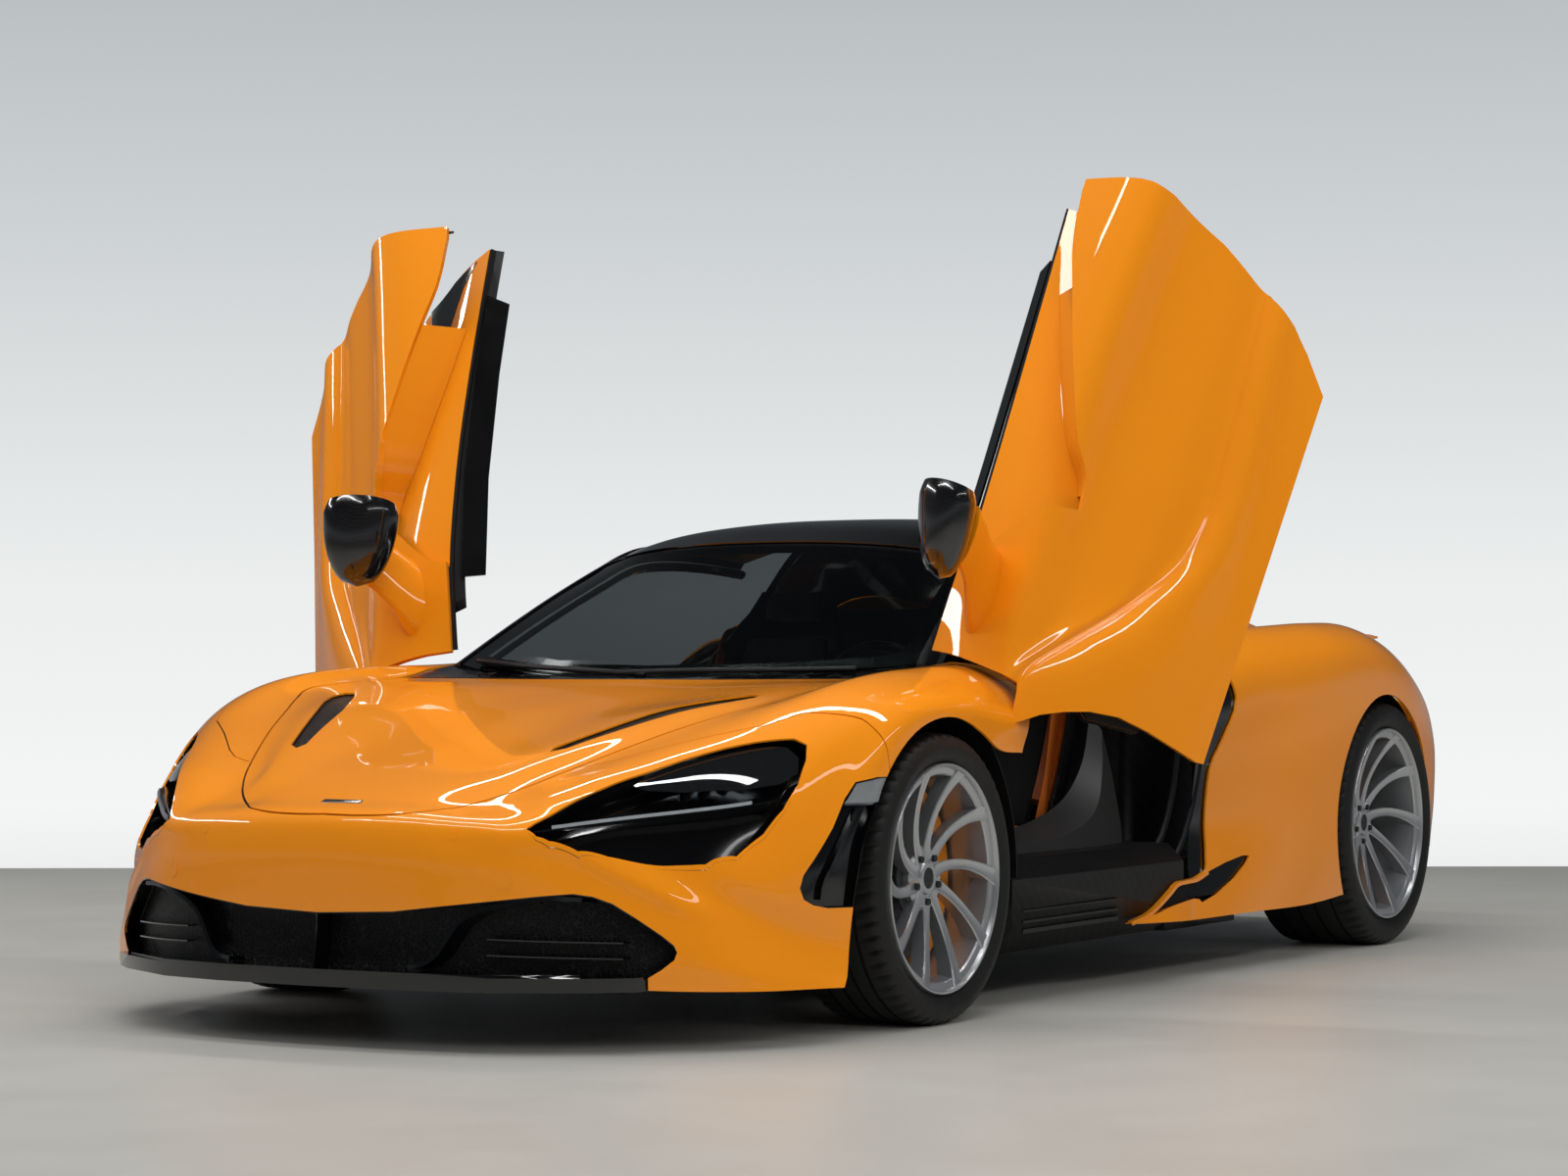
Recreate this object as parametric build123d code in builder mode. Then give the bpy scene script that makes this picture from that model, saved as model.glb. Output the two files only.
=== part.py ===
from build123d import *
import os
from math import cos, pi, sin

os.makedirs("parts", exist_ok=True)

# Mid-engined open-top sports car with doors that swing up and forward.
# Millimetres. +Z is up, -Y is the front, +X is the car's left-hand side.
# The origin is on the floor, midway between nose and tail.
# Both doors are drawn shut and then swung to the open pose in which they are stored.

# ---- driving dimensions ---------------------------------------------------
WHEELBASE = 2670.0
NOSE_Y = -2271.5                # foremost point of the splitter
FRONT_OVERHANG = 1086.5         # nose to front axle
TRACK_FRONT = 1674.0
TRACK_REAR = 1629.0
FRONT_TYRE_R = 327.0
FRONT_TYRE_W = 245.0
FRONT_RIM_R = 258.6             # outside of the rim flange
REAR_TYRE_R = 345.5
REAR_TYRE_W = 305.0
REAR_RIM_R = 271.3
SKIN = 34.0                     # depth through which a body skin is drawn inwards
SHUT_GAP = 6.0                  # gap round a panel that opens
PANEL_GAP = 4.0                 # gap between fixed panels
RUN_GAP = 0.3                   # running clearance of a pin in its bore
SEAT_GAP = 0.4                  # gap between a curved piece and what it sits on
DISC_R = 197.0
DISC_T = 34.0
SPOKES = 10
SPINDLE_R = 30.0
HUB_FACE = 45.0                 # wheel's mounting face, outboard of its middle plane
FRONT_ARCH_R = 362.0
REAR_ARCH_R = 374.0
ARCH_LINER_GAP = 36.0           # arch liner outside the wheel opening
KINGPIN_IN = 77.0               # kingpin axis inboard of the front wheel's middle
PIN_R = 10.0                    # ball joint pins
MIRROR = (1030.0, -471.0, 940.0)  # middle of the left mirror, door shut
DOOR_SWING = 83.0               # degrees from shut to open
DOOR_AXIS = (0.7533, -0.4339, -0.4943)
DOOR_PIVOT = (997.8, -881.3, 600.0)
PIPE_R = 58.0

FLOOR_Z = 118.0                 # underside of the floor
SPLITTER_TOP = 160.0

FRONT_Y = NOSE_Y + FRONT_OVERHANG
REAR_Y = FRONT_Y + WHEELBASE
FRONT_X = TRACK_FRONT / 2
REAR_X = TRACK_REAR / 2
REAR_SHIFT = REAR_Y - 1485.0    # the tail is drawn for a rear axle at y 1485 and moves with it
KINGPIN_X = FRONT_X - KINGPIN_IN

# ---- body surfaces: rows of points, front to back or top to bottom ---------
# Front clamshell, left half. Columns: centre, bonnet, ridge, valley, crown,
# shoulder, flank, lip.
CLAM = [
    [(0, -700, 842), (230, -700, 838), (440, -700, 828), (640, -700, 814),
     (780, -700, 802), (885, -715, 758), (945, -760, 690), (958, -820, 600)],
    [(0, -900, 796), (230, -900, 794), (450, -900, 790), (660, -900, 786),
     (790, -900, 802), (885, -905, 768), (946, -920, 705), (960, -940, 612)],
    [(0, -1050, 768), (230, -1050, 768), (460, -1050, 770), (690, -1050, 774),
     (795, -1050, 797), (885, -1050, 770), (948, -1050, 722), (960, -1050, 660)],
    [(0, -1200, 745), (230, -1200, 748), (490, -1200, 758), (712, -1200, 766),
     (800, -1200, 789), (885, -1200, 764), (948, -1200, 722), (960, -1200, 660)],
    [(0, -1400, 712), (225, -1400, 714), (520, -1400, 734), (682, -1400, 736),
     (788, -1400, 760), (880, -1400, 732), (940, -1400, 684), (957, -1400, 610)],
    [(0, -1540, 684), (215, -1540, 687), (492, -1540, 714), (618, -1540, 704),
     (770, -1540, 718), (868, -1540, 676), (928, -1530, 592), (952, -1535, 460)],
    [(0, -1700, 648), (200, -1700, 650), (438, -1700, 672), (545, -1700, 660),
     (735, -1700, 656), (846, -1690, 580), (912, -1650, 450), (946, -1575, 350)],
    [(0, -1850, 610), (190, -1850, 611), (380, -1850, 625), (468, -1850, 608),
     (660, -1850, 608), (790, -1820, 522), (880, -1740, 404), (942, -1590, 280)],
    [(0, -2000, 567), (190, -2000, 567), (318, -2000, 566), (385, -2000, 550),
     (585, -1990, 556), (720, -1930, 462), (835, -1845, 354), (940, -1598, 230)],
    [(0, -2130, 520), (185, -2124, 518), (290, -2112, 509), (390, -2098, 505),
     (540, -2080, 500), (660, -2010, 412), (805, -1885, 308), (940, -1604, 195)],
    [(0, -2215, 485), (190, -2207, 483), (320, -2190, 476), (430, -2167, 466),
     (530, -2125, 447), (650, -2045, 372), (800, -1910, 275), (942, -1610, 172)],
    [(0, -2234, 425), (200, -2226, 424), (345, -2204, 417), (460, -2168, 406),
     (560, -2112, 385), (672, -2030, 322), (812, -1905, 240), (944, -1616, 155)],
    [(0, -2236, 340), (210, -2229, 338), (365, -2205, 331), (485, -2163, 321),
     (590, -2100, 308), (695, -2020, 262), (825, -1900, 202), (946, -1622, 142)],
    [(0, -2236, 250), (215, -2229, 250), (378, -2205, 245), (503, -2156, 237),
     (610, -2092, 228), (715, -2012, 198), (838, -1893, 165), (948, -1630, 132)],
    [(0, -2250, 160), (220, -2241, 164), (388, -2208, 160), (518, -2152, 148),
     (625, -2080, 138), (728, -2000, 130), (848, -1882, 125), (950, -1640, 120)],
]
# Outer skin of the left door, shut. Columns: belt, brow, shoulder crease, scallop, side
# crease, top and bottom of the lower step, rocker, sill.
DOOR = [
    [(728, -880, 845), (858, -880, 775), (914, -880, 720), (940, -880, 690), (944, -880, 672),
     (945, -880, 656), (950, -880, 646), (946, -880, 258), (930, -880, 160)],
    [(757, -700, 850), (865, -700, 772), (915, -700, 716), (930, -700, 690), (936, -700, 672),
     (938, -700, 652), (946, -700, 642), (945, -700, 240), (934, -700, 165)],
    [(766, -580, 853), (869, -580, 770), (916, -580, 712), (916, -580, 630), (926, -580, 588),
     (928, -580, 560), (938, -580, 550), (946, -580, 232), (938, -580, 165)],
    [(774, -460, 855), (873, -460, 769), (917, -460, 710), (907, -460, 600), (921, -460, 492),
     (924, -460, 462), (934, -460, 452), (948, -460, 228), (942, -460, 165)],
    [(779, -330, 857), (878, -330, 768), (918, -330, 710), (901, -330, 600), (919, -330, 460),
     (925, -330, 386), (936, -330, 376), (950, -330, 226), (946, -330, 165)],
    [(781, -200, 858), (882, -200, 768), (919, -200, 712), (899, -200, 600), (919, -200, 458),
     (927, -200, 362), (938, -200, 352), (951, -200, 226), (951, -200, 165)],
    [(785, 0, 860), (888, 0, 768), (921, 0, 713), (896, 0, 600), (919, 0, 458),
     (930, 0, 368), (941, 0, 358), (953, 0, 230), (961, 0, 165)],
    [(784, 200, 862), (893, 200, 768), (926, 200, 712), (900, 200, 600), (924, 200, 458),
     (935, 200, 382), (946, 200, 372), (955, 200, 240), (970, 200, 165)],
    [(782, 380, 862), (898, 380, 768), (931, 380, 708), (909, 380, 600), (932, 380, 460),
     (939, 380, 392), (949, 380, 382), (956, 380, 250), (973, 380, 165)],
    [(775, 560, 861), (902, 560, 766), (936, 560, 704), (925, 560, 600), (943, 560, 464),
     (946, 560, 400), (953, 560, 390), (958, 560, 255), (976, 560, 165)],
]
# Rear body, left half. Columns: centre, buttress, valley, haunch, shoulder, waist, bulge, sill.
REAR = [
    [(0, 482, 1166), (430, 476, 1142), (640, 500, 900), (765, 526, 852),
     (868, 440, 740), (880, 350, 560), (885, 290, 360), (940, 178, 150)],
    [(0, 760, 1130), (470, 750, 1105), (640, 750, 905), (790, 740, 888),
     (900, 735, 790), (912, 690, 600), (918, 620, 380), (950, 500, 150)],
    [(0, 1000, 1050), (490, 1000, 1045), (640, 1000, 890), (805, 1000, 906),
     (928, 1000, 820), (952, 980, 640), (955, 960, 400), (962, 900, 150)],
    [(0, 1250, 965), (500, 1250, 985), (640, 1250, 880), (808, 1250, 918),
     (935, 1250, 850), (966, 1250, 700), (968, 1250, 420), (960, 1250, 170)],
    [(0, 1500, 900), (510, 1500, 925), (650, 1500, 872), (805, 1500, 915),
     (930, 1500, 845), (965, 1500, 700), (966, 1500, 420), (950, 1500, 190)],
    [(0, 1800, 868), (510, 1800, 880), (650, 1800, 838), (800, 1800, 850),
     (905, 1800, 772), (945, 1800, 640), (948, 1800, 420), (935, 1800, 220)],
    [(0, 2060, 855), (500, 2050, 845), (640, 2040, 800), (770, 2030, 750),
     (865, 2010, 686), (905, 1990, 590), (910, 1985, 420), (895, 1985, 260)],
    [(0, 2230, 855), (480, 2215, 838), (620, 2190, 780), (735, 2150, 700),
     (822, 2110, 632), (858, 2090, 560), (862, 2085, 430), (850, 2085, 300)],
]
# Tail, left half, top to bottom. Columns: centre, inner, middle, outer, corner.
TAIL = [
    [(0, 2236, 800), (300, 2230, 800), (560, 2195, 775), (740, 2130, 690), (860, 2040, 640)],
    [(0, 2250, 660), (300, 2243, 660), (565, 2207, 640), (745, 2140, 590), (872, 2035, 540)],
    [(0, 2271.5, 520), (300, 2263, 520), (570, 2225, 500), (748, 2150, 470), (882, 2032, 430)],
    [(0, 2262, 380), (300, 2254, 380), (570, 2216, 370), (745, 2140, 350), (880, 2025, 330)],
    [(0, 2230, 280), (300, 2224, 280), (565, 2190, 280), (738, 2115, 270), (870, 2010, 262)],
]
# Windscreen, left half, bottom to top. Columns: centre, inner, outer, pillar.
SCREEN = [
    [(0, -985, 776), (280, -968, 779), (500, -905, 790), (662, -790, 806)],
    [(0, -800, 885), (270, -787, 884), (475, -735, 884), (628, -635, 892)],
    [(0, -590, 1005), (258, -580, 1001), (448, -540, 990), (592, -460, 982)],
    [(0, -370, 1112), (245, -364, 1106), (420, -336, 1090), (558, -280, 1064)],
]
# Roof, left half, front to back. Columns: centre, inner, outer, rail.
ROOF = [
    [(0, -360, 1120), (245, -354, 1114), (420, -326, 1098), (560, -270, 1072)],
    [(0, -150, 1168), (240, -150, 1162), (415, -140, 1144), (575, -110, 1110)],
    [(0, 100, 1190), (235, 100, 1184), (412, 100, 1164), (580, 90, 1126)],
    [(0, 300, 1188), (235, 300, 1182), (412, 296, 1162), (575, 280, 1122)],
    [(0, 462, 1172), (230, 460, 1167), (425, 452, 1148), (560, 436, 1110)],
]


# ---- shared construction ---------------------------------------------------
def astern(rows):
    """Table with every point behind the doors moved along with the rear axle."""
    return [[(x, y + REAR_SHIFT if y > 900 else y, z) for x, y, z in row] for row in rows]


def mean_gap(first, second):
    """Mean distance between two lists of points."""
    return sum((b - a).length for a, b in zip(first, second)) / len(first)


def chain(points, gaps, before=None):
    """Control points of a smooth chain of cubic curves through some points."""
    ends = [before or points[0] * 2 - points[1]] + points + [points[-1] * 2 - points[-2]]
    gaps = [gaps[0]] + gaps + [gaps[-1]]
    controls = []
    for k, point in enumerate(points):
        back, ahead = gaps[k], gaps[k + 1]
        slope = (point - ends[k]) * (ahead / back) + (ends[k + 2] - point) * (back / ahead)
        slope = slope * (1 / (3 * (back + ahead)))
        controls += [point - slope * back, point, point + slope * ahead]
    return controls[1:-1]


def net(rows, symmetric):
    """Control net of the smooth surface through a table of points."""
    grid = [[Vector(*point) for point in row] for row in rows]
    columns = [list(column) for column in zip(*grid)]
    across = [mean_gap(a, b) for a, b in zip(columns, columns[1:])]
    along = [mean_gap(a, b) for a, b in zip(grid, grid[1:])]
    chains = []
    for row in grid:
        twin = Vector(-row[1].X, row[1].Y, row[1].Z) if symmetric else None
        chains.append(chain(row, across, twin))
    return [list(row) for row in zip(*[chain(list(line), along) for line in zip(*chains)])]


def skin(rows, draw, symmetric=True, shift=0.0):
    """Solid sheet: the smooth surface through a table, drawn along a vector.

    A shift moves the whole sheet along the same vector, as a share of the draw."""
    controls = net(rows, symmetric)
    draw = Vector(*draw)
    controls = [[point + draw * shift for point in row] for row in controls]
    tall, wide = len(controls), len(controls[0])
    outer = []
    for i in range(0, tall - 1, 3):
        for j in range(0, wide - 1, 3):
            patch = [controls[i + step][j:j + 4] for step in range(4)]
            outer.append(Face.make_bezier_surface(patch))
    rims = [controls[0], controls[-1], [row[0] for row in controls], [row[-1] for row in controls]]
    sides = []
    for rim in rims:
        for k in range(0, len(rim) - 1, 3):
            sides.append(Face.extrude(Edge.make_bezier(*rim[k:k + 4]), draw))
    inner = [face.moved(Location(draw)) for face in outer]
    return Solid(Shell(outer + inner + sides))


def box(x, y, z, mode=Mode.ADD):
    """Box between two limits on each axis."""
    with Locations(((x[0] + x[1]) / 2, (y[0] + y[1]) / 2, (z[0] + z[1]) / 2)):
        Box(x[1] - x[0], y[1] - y[0], z[1] - z[0], mode=mode)


def prism(plane, points, depth, mode=Mode.ADD):
    """Outline of straight lines on a plane, drawn along the plane's normal."""
    with BuildSketch(plane) as outline:
        with BuildLine():
            Polyline(*points, close=True)
        make_face()
    extrude(outline.sketch, amount=depth, mode=mode)


def plan(points, bottom, top, mode=Mode.ADD):
    """Prism of an outline of (x, y) points seen from above."""
    prism(Plane.XY.offset(bottom), points, top - bottom, mode)


def side(points, inner, outer, mode=Mode.ADD):
    """Prism of an outline of (y, z) points seen from the side."""
    prism(Plane.YZ.offset(inner), points, outer - inner, mode)


def front(points, start, end, mode=Mode.ADD):
    """Prism of an outline of (x, z) points seen from the front."""
    prism(Plane.XZ.offset(-start), points, start - end, mode)


def drum(y, z, radius, inner, outer, mode=Mode.ADD):
    """Cylinder along X between two planes."""
    with BuildSketch(Plane.YZ.offset(inner)) as disc:
        with Locations((y, z)):
            Circle(radius)
    extrude(disc.sketch, amount=outer - inner, mode=mode)


def rod(start, end, radius, mode=Mode.ADD):
    """Round bar between two points."""
    way = Vector(*end) - Vector(*start)
    with BuildSketch(Plane(origin=start, z_dir=way)) as disc:
        Circle(radius)
    extrude(disc.sketch, amount=way.length, mode=mode)


def pair(half):
    """A left-hand piece with its mirror image."""
    with BuildPart() as both:
        add(half)
        mirror(about=Plane.YZ)
    return both.part


def largest(part, count):
    """The biggest solids of a piece, without the slivers a cut leaves."""
    return part.solids().sort_by(SortBy.VOLUME)[-count:]


def save(part, name):
    part.label = name
    export_step(part, f"parts/{name}.step")


def on_hinge(distance, hand=1):
    """Point on a door's hinge axis."""
    x, y, z = [p + distance * a for p, a in zip(DOOR_PIVOT, DOOR_AXIS)]
    return (hand * x, y, z)


def save_door(part, name, hand):
    """Swing a shut left door (or its mirror image) open and write it."""
    if hand < 0:
        part = part.mirror(Plane.YZ)
    pivot = Vector(*on_hinge(0, hand))
    way = Vector(DOOR_AXIS[0], hand * DOOR_AXIS[1], hand * DOOR_AXIS[2])
    save(part.rotate(Axis(pivot, way), DOOR_SWING), name)


# ---- front body -------------------------------------------------------------
CLAM_DRAW = tuple(SKIN * share for share in (-0.50, 0.45, -0.74))
# Seen from above, left half: (x, y).
LID_EDGE = [(0, -2206), (90, -2204), (172, -2193), (228, -2171), (262, -2138), (333, -2067), (392, -1988),
            (451, -1883), (518, -1753), (606, -1570), (672, -1440), (706, -1365), (712, -1320), (702, -1270),
            (672, -1150), (648, -1040)]
BONNET_VENT = [(345, -1866), (376, -1846), (447, -1700), (500, -1592), (560, -1485), (590, -1412), (584, -1376),
               (556, -1374), (512, -1432), (458, -1524), (426, -1589), (381, -1721), (338, -1838)]
HEADLAMP = [(478, -2146), (500, -2142), (524, -2130), (575, -2098), (622, -2057), (666, -2013), (725, -1954),
            (770, -1911), (813, -1856), (841, -1790), (857, -1736), (864, -1686), (859, -1644), (848, -1623),
            (823, -1634), (800, -1660), (765, -1703), (725, -1759), (676, -1837), (630, -1920), (580, -1995),
            (543, -2049), (506, -2104), (488, -2130)]
FENDER = [(0, -1902), (451, -1902), (505, -1884), (548, -1850), (650, -1745), (752, -1648), (802, -1558),
          (851, -1515), (899, -1470), (1000, -1425), (1000, -600), (0, -600)]
FENDER_TOP_GAP = [(0, -1090), (655, -1090), (706, -860), (706, -600), (0, -600)]
SCREEN_FOOT = [(0, -995), (300, -975), (520, -905), (640, -820), (700, -770)]
BULKHEAD_Z = 724.0
# Seen from the side: (y, z).
SIDE_VENT = [(-1400, 563), (-1493, 563), (-1555, 554), (-1590, 519), (-1633, 458), (-1678, 407), (-1719, 361),
             (-1730, 333), (-1720, 309), (-1695, 296), (-1656, 288), (-1400, 284)]
SIDE_LAMP_Z = 512.0             # lower edge of the clear lamp at the top of the side vent
# Seen from the front: (x, z).
NOSE_INTAKE = [(-10, 283), (195, 291), (312, 305), (417, 317), (512, 328), (571, 333), (604, 327), (637, 312),
               (678, 280), (719, 245), (740, 224), (746, 210), (742, 194), (722, 174), (690, 150), (-10, 150)]
NOSE_VANE = [(250, 160), (300, 196), (345, 262), (392, 300), (470, 318), (560, 326), (560, 312), (470, 300),
             (410, 282), (368, 246), (330, 190), (290, 160)]


def grown(points, gap):
    """Outline moved outwards, square to its own edge, by a gap."""
    out = []
    for k, (a, b) in enumerate(points):
        (pa, pb), (qa, qb) = points[k - 1], points[(k + 1) % len(points)]
        edge = Vector(qa - pa, qb - pb).normalized()
        out.append((a + edge.Y * gap, b - edge.X * gap))
    return out


def lid_outline(gap):
    """Bonnet outline, both sides, moved outwards by a gap."""
    whole = LID_EDGE + [(-x, y) for x, y in reversed(LID_EDGE) if x]
    return grown(whole, gap)


LID_HINGE = (-1036.5, 766.0)    # (y, z) of the bonnet's hinge axis
LID_PIN_R = 3.5
LID_EYE_R = 7.0
LID_PIN_X = (150.0, 190.0)
LID_LUGS_X = (135.0, 205.0)
COWL_Y = -1026.0                # front edge of the cowl, clear of the lid as it swings


def bonnet_eye(mode, span, radius):
    """Part of a bonnet hinge: a round bar, or a hole, on the hinge axis."""
    drum(*LID_HINGE, radius, *span, mode)


with BuildPart() as clam:
    add(skin(CLAM, CLAM_DRAW))
    box((0, 1100), (-2400, -600), (0, 1000), Mode.INTERSECT)
    drum(FRONT_Y, FRONT_TYRE_R, FRONT_ARCH_R, 700, 1000, Mode.SUBTRACT)

with BuildPart() as bonnet:
    add(clam.part)
    plan(lid_outline(0), 400, 900, Mode.INTERSECT)
    plan(BONNET_VENT, 400, 900, Mode.SUBTRACT)
    bonnet_eye(Mode.ADD, LID_PIN_X, LID_EYE_R)
    bonnet_eye(Mode.SUBTRACT, LID_LUGS_X, LID_PIN_R + RUN_GAP)
save(pair(bonnet.part), "bonnet")

with BuildPart() as front_fenders:
    add(clam.part)
    plan(FENDER, 0, 1000, Mode.INTERSECT)
    box((700, 1100), (-1425, -500), (0, 505), Mode.SUBTRACT)
    plan(lid_outline(SHUT_GAP), 400, 900, Mode.SUBTRACT)
    plan(FENDER_TOP_GAP, 400, 900, Mode.SUBTRACT)
    box((800, 1000), (-857, -600), (500, 900), Mode.SUBTRACT)
save(pair(front_fenders.part), "front_fenders")

with BuildPart() as cowl:
    add(clam.part)
    left = [(0, COWL_Y), (644, COWL_Y), (690, -860)]
    plan(left + SCREEN_FOOT[:0:-1][1:] + [SCREEN_FOOT[0]], 400, 900, Mode.INTERSECT)
    box((0, 500), (-1000, -965), (BULKHEAD_Z + SEAT_GAP, BULKHEAD_Z + 32))
    bonnet_eye(Mode.SUBTRACT, (LID_PIN_X[0] - 1, LID_PIN_X[1] + 1), LID_EYE_R + 1)
    bonnet_eye(Mode.ADD, LID_LUGS_X, LID_PIN_R)
    for x in (LID_LUGS_X[0], LID_PIN_X[1] + 1):
        box((x, x + 14), (LID_HINGE[0], COWL_Y + 8), (LID_HINGE[1] - 12, LID_HINGE[1] - 2))
save(pair(cowl.part), "cowl")

with BuildPart() as front_bumper:
    add(clam.part)
    plan(grown(FENDER, PANEL_GAP), 0, 1000, Mode.SUBTRACT)
    plan(lid_outline(SHUT_GAP), 400, 900, Mode.SUBTRACT)
    box((-10, 1000), (FRONT_Y, -500), (0, 1000), Mode.SUBTRACT)
    plan(HEADLAMP, 300, 700, Mode.SUBTRACT)
    side(SIDE_VENT, 700, 1000, Mode.SUBTRACT)
    front(NOSE_INTAKE, -1900, -2400, Mode.SUBTRACT)
    box((-10, 700), (-2400, -1000), (0, SPLITTER_TOP + SEAT_GAP), Mode.SUBTRACT)
save(pair(front_bumper.part), "front_bumper")

with BuildPart() as headlamps:
    add(skin(CLAM, CLAM_DRAW, shift=1.02))
    plan(grown(HEADLAMP, 22), 200, 700, Mode.INTERSECT)
    box((420, 1000), (-2300, -1600), (200, 700), Mode.INTERSECT)
    add(front_fenders.part, mode=Mode.SUBTRACT)
save(pair(headlamps.part), "headlamps")

with BuildPart() as side_vents:
    add(skin(CLAM, CLAM_DRAW, shift=1.02))
    side(grown(SIDE_VENT, -12), 700, 1000, Mode.INTERSECT)
    drum(FRONT_Y, FRONT_TYRE_R, FRONT_ARCH_R + ARCH_LINER_GAP + 12, 700, 1000, Mode.SUBTRACT)
    add(headlamps.part, mode=Mode.SUBTRACT)
save(pair(side_vents.part), "side_vents")

with BuildPart() as side_lamps:
    add(clam.part)
    side(grown(SIDE_VENT, 1), 700, 1000, Mode.INTERSECT)
    box((700, 1000), (-1700, -1400), (SIDE_LAMP_Z, 600), Mode.INTERSECT)
    add(front_bumper.part, mode=Mode.SUBTRACT)
    add(side_vents.part, mode=Mode.SUBTRACT)
save(pair(largest(side_lamps.part, 1)), "side_lamps")

with BuildPart() as front_splitter:
    plan([(0, NOSE_Y), (250, NOSE_Y + 12), (420, -2228), (620, -2120), (694, -2058),
          (694, -1900), (0, -1900)], 130.3, SPLITTER_TOP)
    plan([(0, NOSE_Y + 8), (250, NOSE_Y + 20), (420, -2216), (600, -2118), (600, -2130), (420, -2228),
          (250, NOSE_Y + 12), (0, NOSE_Y)], SPLITTER_TOP, SPLITTER_TOP + 7)
    add(front_bumper.part, mode=Mode.SUBTRACT)
save(pair(front_splitter.part), "front_splitter")

# Black box behind the nose opening: a back wall, a curved vane that parts the centre
# from the outer pod, and ribs in the pod.
with BuildPart() as front_intakes:
    plan([(0, -2150), (300, -2140), (480, -2085), (640, -1975), (700, -1900), (650, -1900),
          (440, -2050), (300, -2110), (0, -2120)], SPLITTER_TOP, 345)
    front(NOSE_VANE, -2100, -2225)
    for z in (205, 250, 295):
        plan([(400, -2180), (600, -2090), (690, -1985), (650, -1950), (400, -2070)], z, z + 8)
    box((0, 1000), (-2400, -1800), (0, SPLITTER_TOP + SEAT_GAP), Mode.SUBTRACT)
    add(front_bumper.part, mode=Mode.SUBTRACT)
    add(front_splitter.part, mode=Mode.SUBTRACT)
    add(headlamps.part, mode=Mode.SUBTRACT)
save(pair(front_intakes.part), "front_intakes")

# ---- tub, floor, front frame ---------------------------------------------------
SILL_X = 905.0
DASH_Y = -950.0                 # front wall of the cabin
BACK_Z = 955.0                  # top of the bulkhead behind the seats
HAUNCH_Z = 822.0                # top of its outer wings
with BuildPart() as tub:
    side([(-1000, FLOOR_Z), (640, FLOOR_Z), (640, BACK_Z), (600, BACK_Z), (570, 330), (440, 170),
          (-800, 170), (DASH_Y, 300), (DASH_Y, BULKHEAD_Z), (-1000, BULKHEAD_Z)], -540, 540)
    for hand in (1, -1):
        front([(hand * 540, FLOOR_Z), (hand * 820, FLOOR_Z), (hand * SILL_X, 180), (hand * SILL_X, 300),
               (hand * 860, 345), (hand * 700, 345), (hand * 640, 170), (hand * 540, 170)], -770, 195)
        box((540, 850) if hand > 0 else (-850, -540), (195, 640), (FLOOR_Z, 170))
        box((590, 850) if hand > 0 else (-850, -590), (195, 640), (170, 300))
        box((560, 765) if hand > 0 else (-765, -560), (-770, -715), (340, 735))
        box((715, 765) if hand > 0 else (-765, -715), (-770, -715), (735, 755))
        rod(on_hinge(-312, hand), on_hinge(-190, hand), PIN_R)
        box((540, 745) if hand > 0 else (-745, -540), (600, 640), (170, HAUNCH_Z))
save(tub.part, "tub")

with BuildPart() as undertray:
    plan([(0, -2000), (620, -2000), (620, -1620), (520, -1560), (520, -1000.5), (0, -1000.5)],
         FLOOR_Z, 130)
    plan([(0, 640.5), (560, 640.5), (560, REAR_Y + 475), (0, REAR_Y + 475)], FLOOR_Z, 130)
save(pair(undertray.part), "undertray")

RAIL_X = (390.0, 450.0)
with BuildPart() as front_frame:
    box(RAIL_X, (-2040, -1000.3), (200, 320))
    box((0, RAIL_X[1]), (-2040, -1985), (200, 320))
    box(RAIL_X, (-1260, -1110), (320, 640))
    box((RAIL_X[0], 530), (-1230, -1140), (560, 640))
    box(RAIL_X, (-1500, -1450), (130, 200))
save(pair(front_frame.part), "front_frame")

with BuildPart() as front_trunk:
    box((-389.7, 389.7), (-1890, -1060), (320.3, 545))
    box((-382, 382), (-1882, -1068), (328, 600), Mode.SUBTRACT)
save(front_trunk.part, "front_trunk")

# ---- screen, roof ----------------------------------------------------------------
with BuildPart() as windscreen:
    add(skin(SCREEN, (0, 0, -7)))
save(pair(windscreen.part), "windscreen")

with BuildPart() as roof:
    add(skin(ROOF, (0, 0, -30)))
save(pair(roof.part), "roof")

RAIL = [[(x + SEAT_GAP, y, z), (x + 40, y + 10, z - 26)]
        for x, y, z in [row[-1] for row in SCREEN + ROOF[1:]]]
with BuildPart() as screen_frame:
    add(skin(RAIL, (0, 0, -42), symmetric=False))
    add(windscreen.part, mode=Mode.SUBTRACT)
    add(roof.part, mode=Mode.SUBTRACT)
save(pair(screen_frame.part), "screen_frame")

# ---- cabin -----------------------------------------------------------------------
WHEEL_CENTRE = (365.0, -395.0, 690.0)
COLUMN = (0.0, -0.94, -0.342)     # along the column, away from the driver


def on_column(distance):
    return tuple(c + distance * a for c, a in zip(WHEEL_CENTRE, COLUMN))


with BuildPart() as dashboard:
    side([(DASH_Y, 520), (DASH_Y, 712), (-885, 718), (-800, 768), (-700, 766), (-610, 735), (-590, 660),
          (-660, 560), (-800, 500)], -530, 530)
    rod(on_column(60), on_column(260), 32)
save(dashboard.part, "dashboard")

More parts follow.
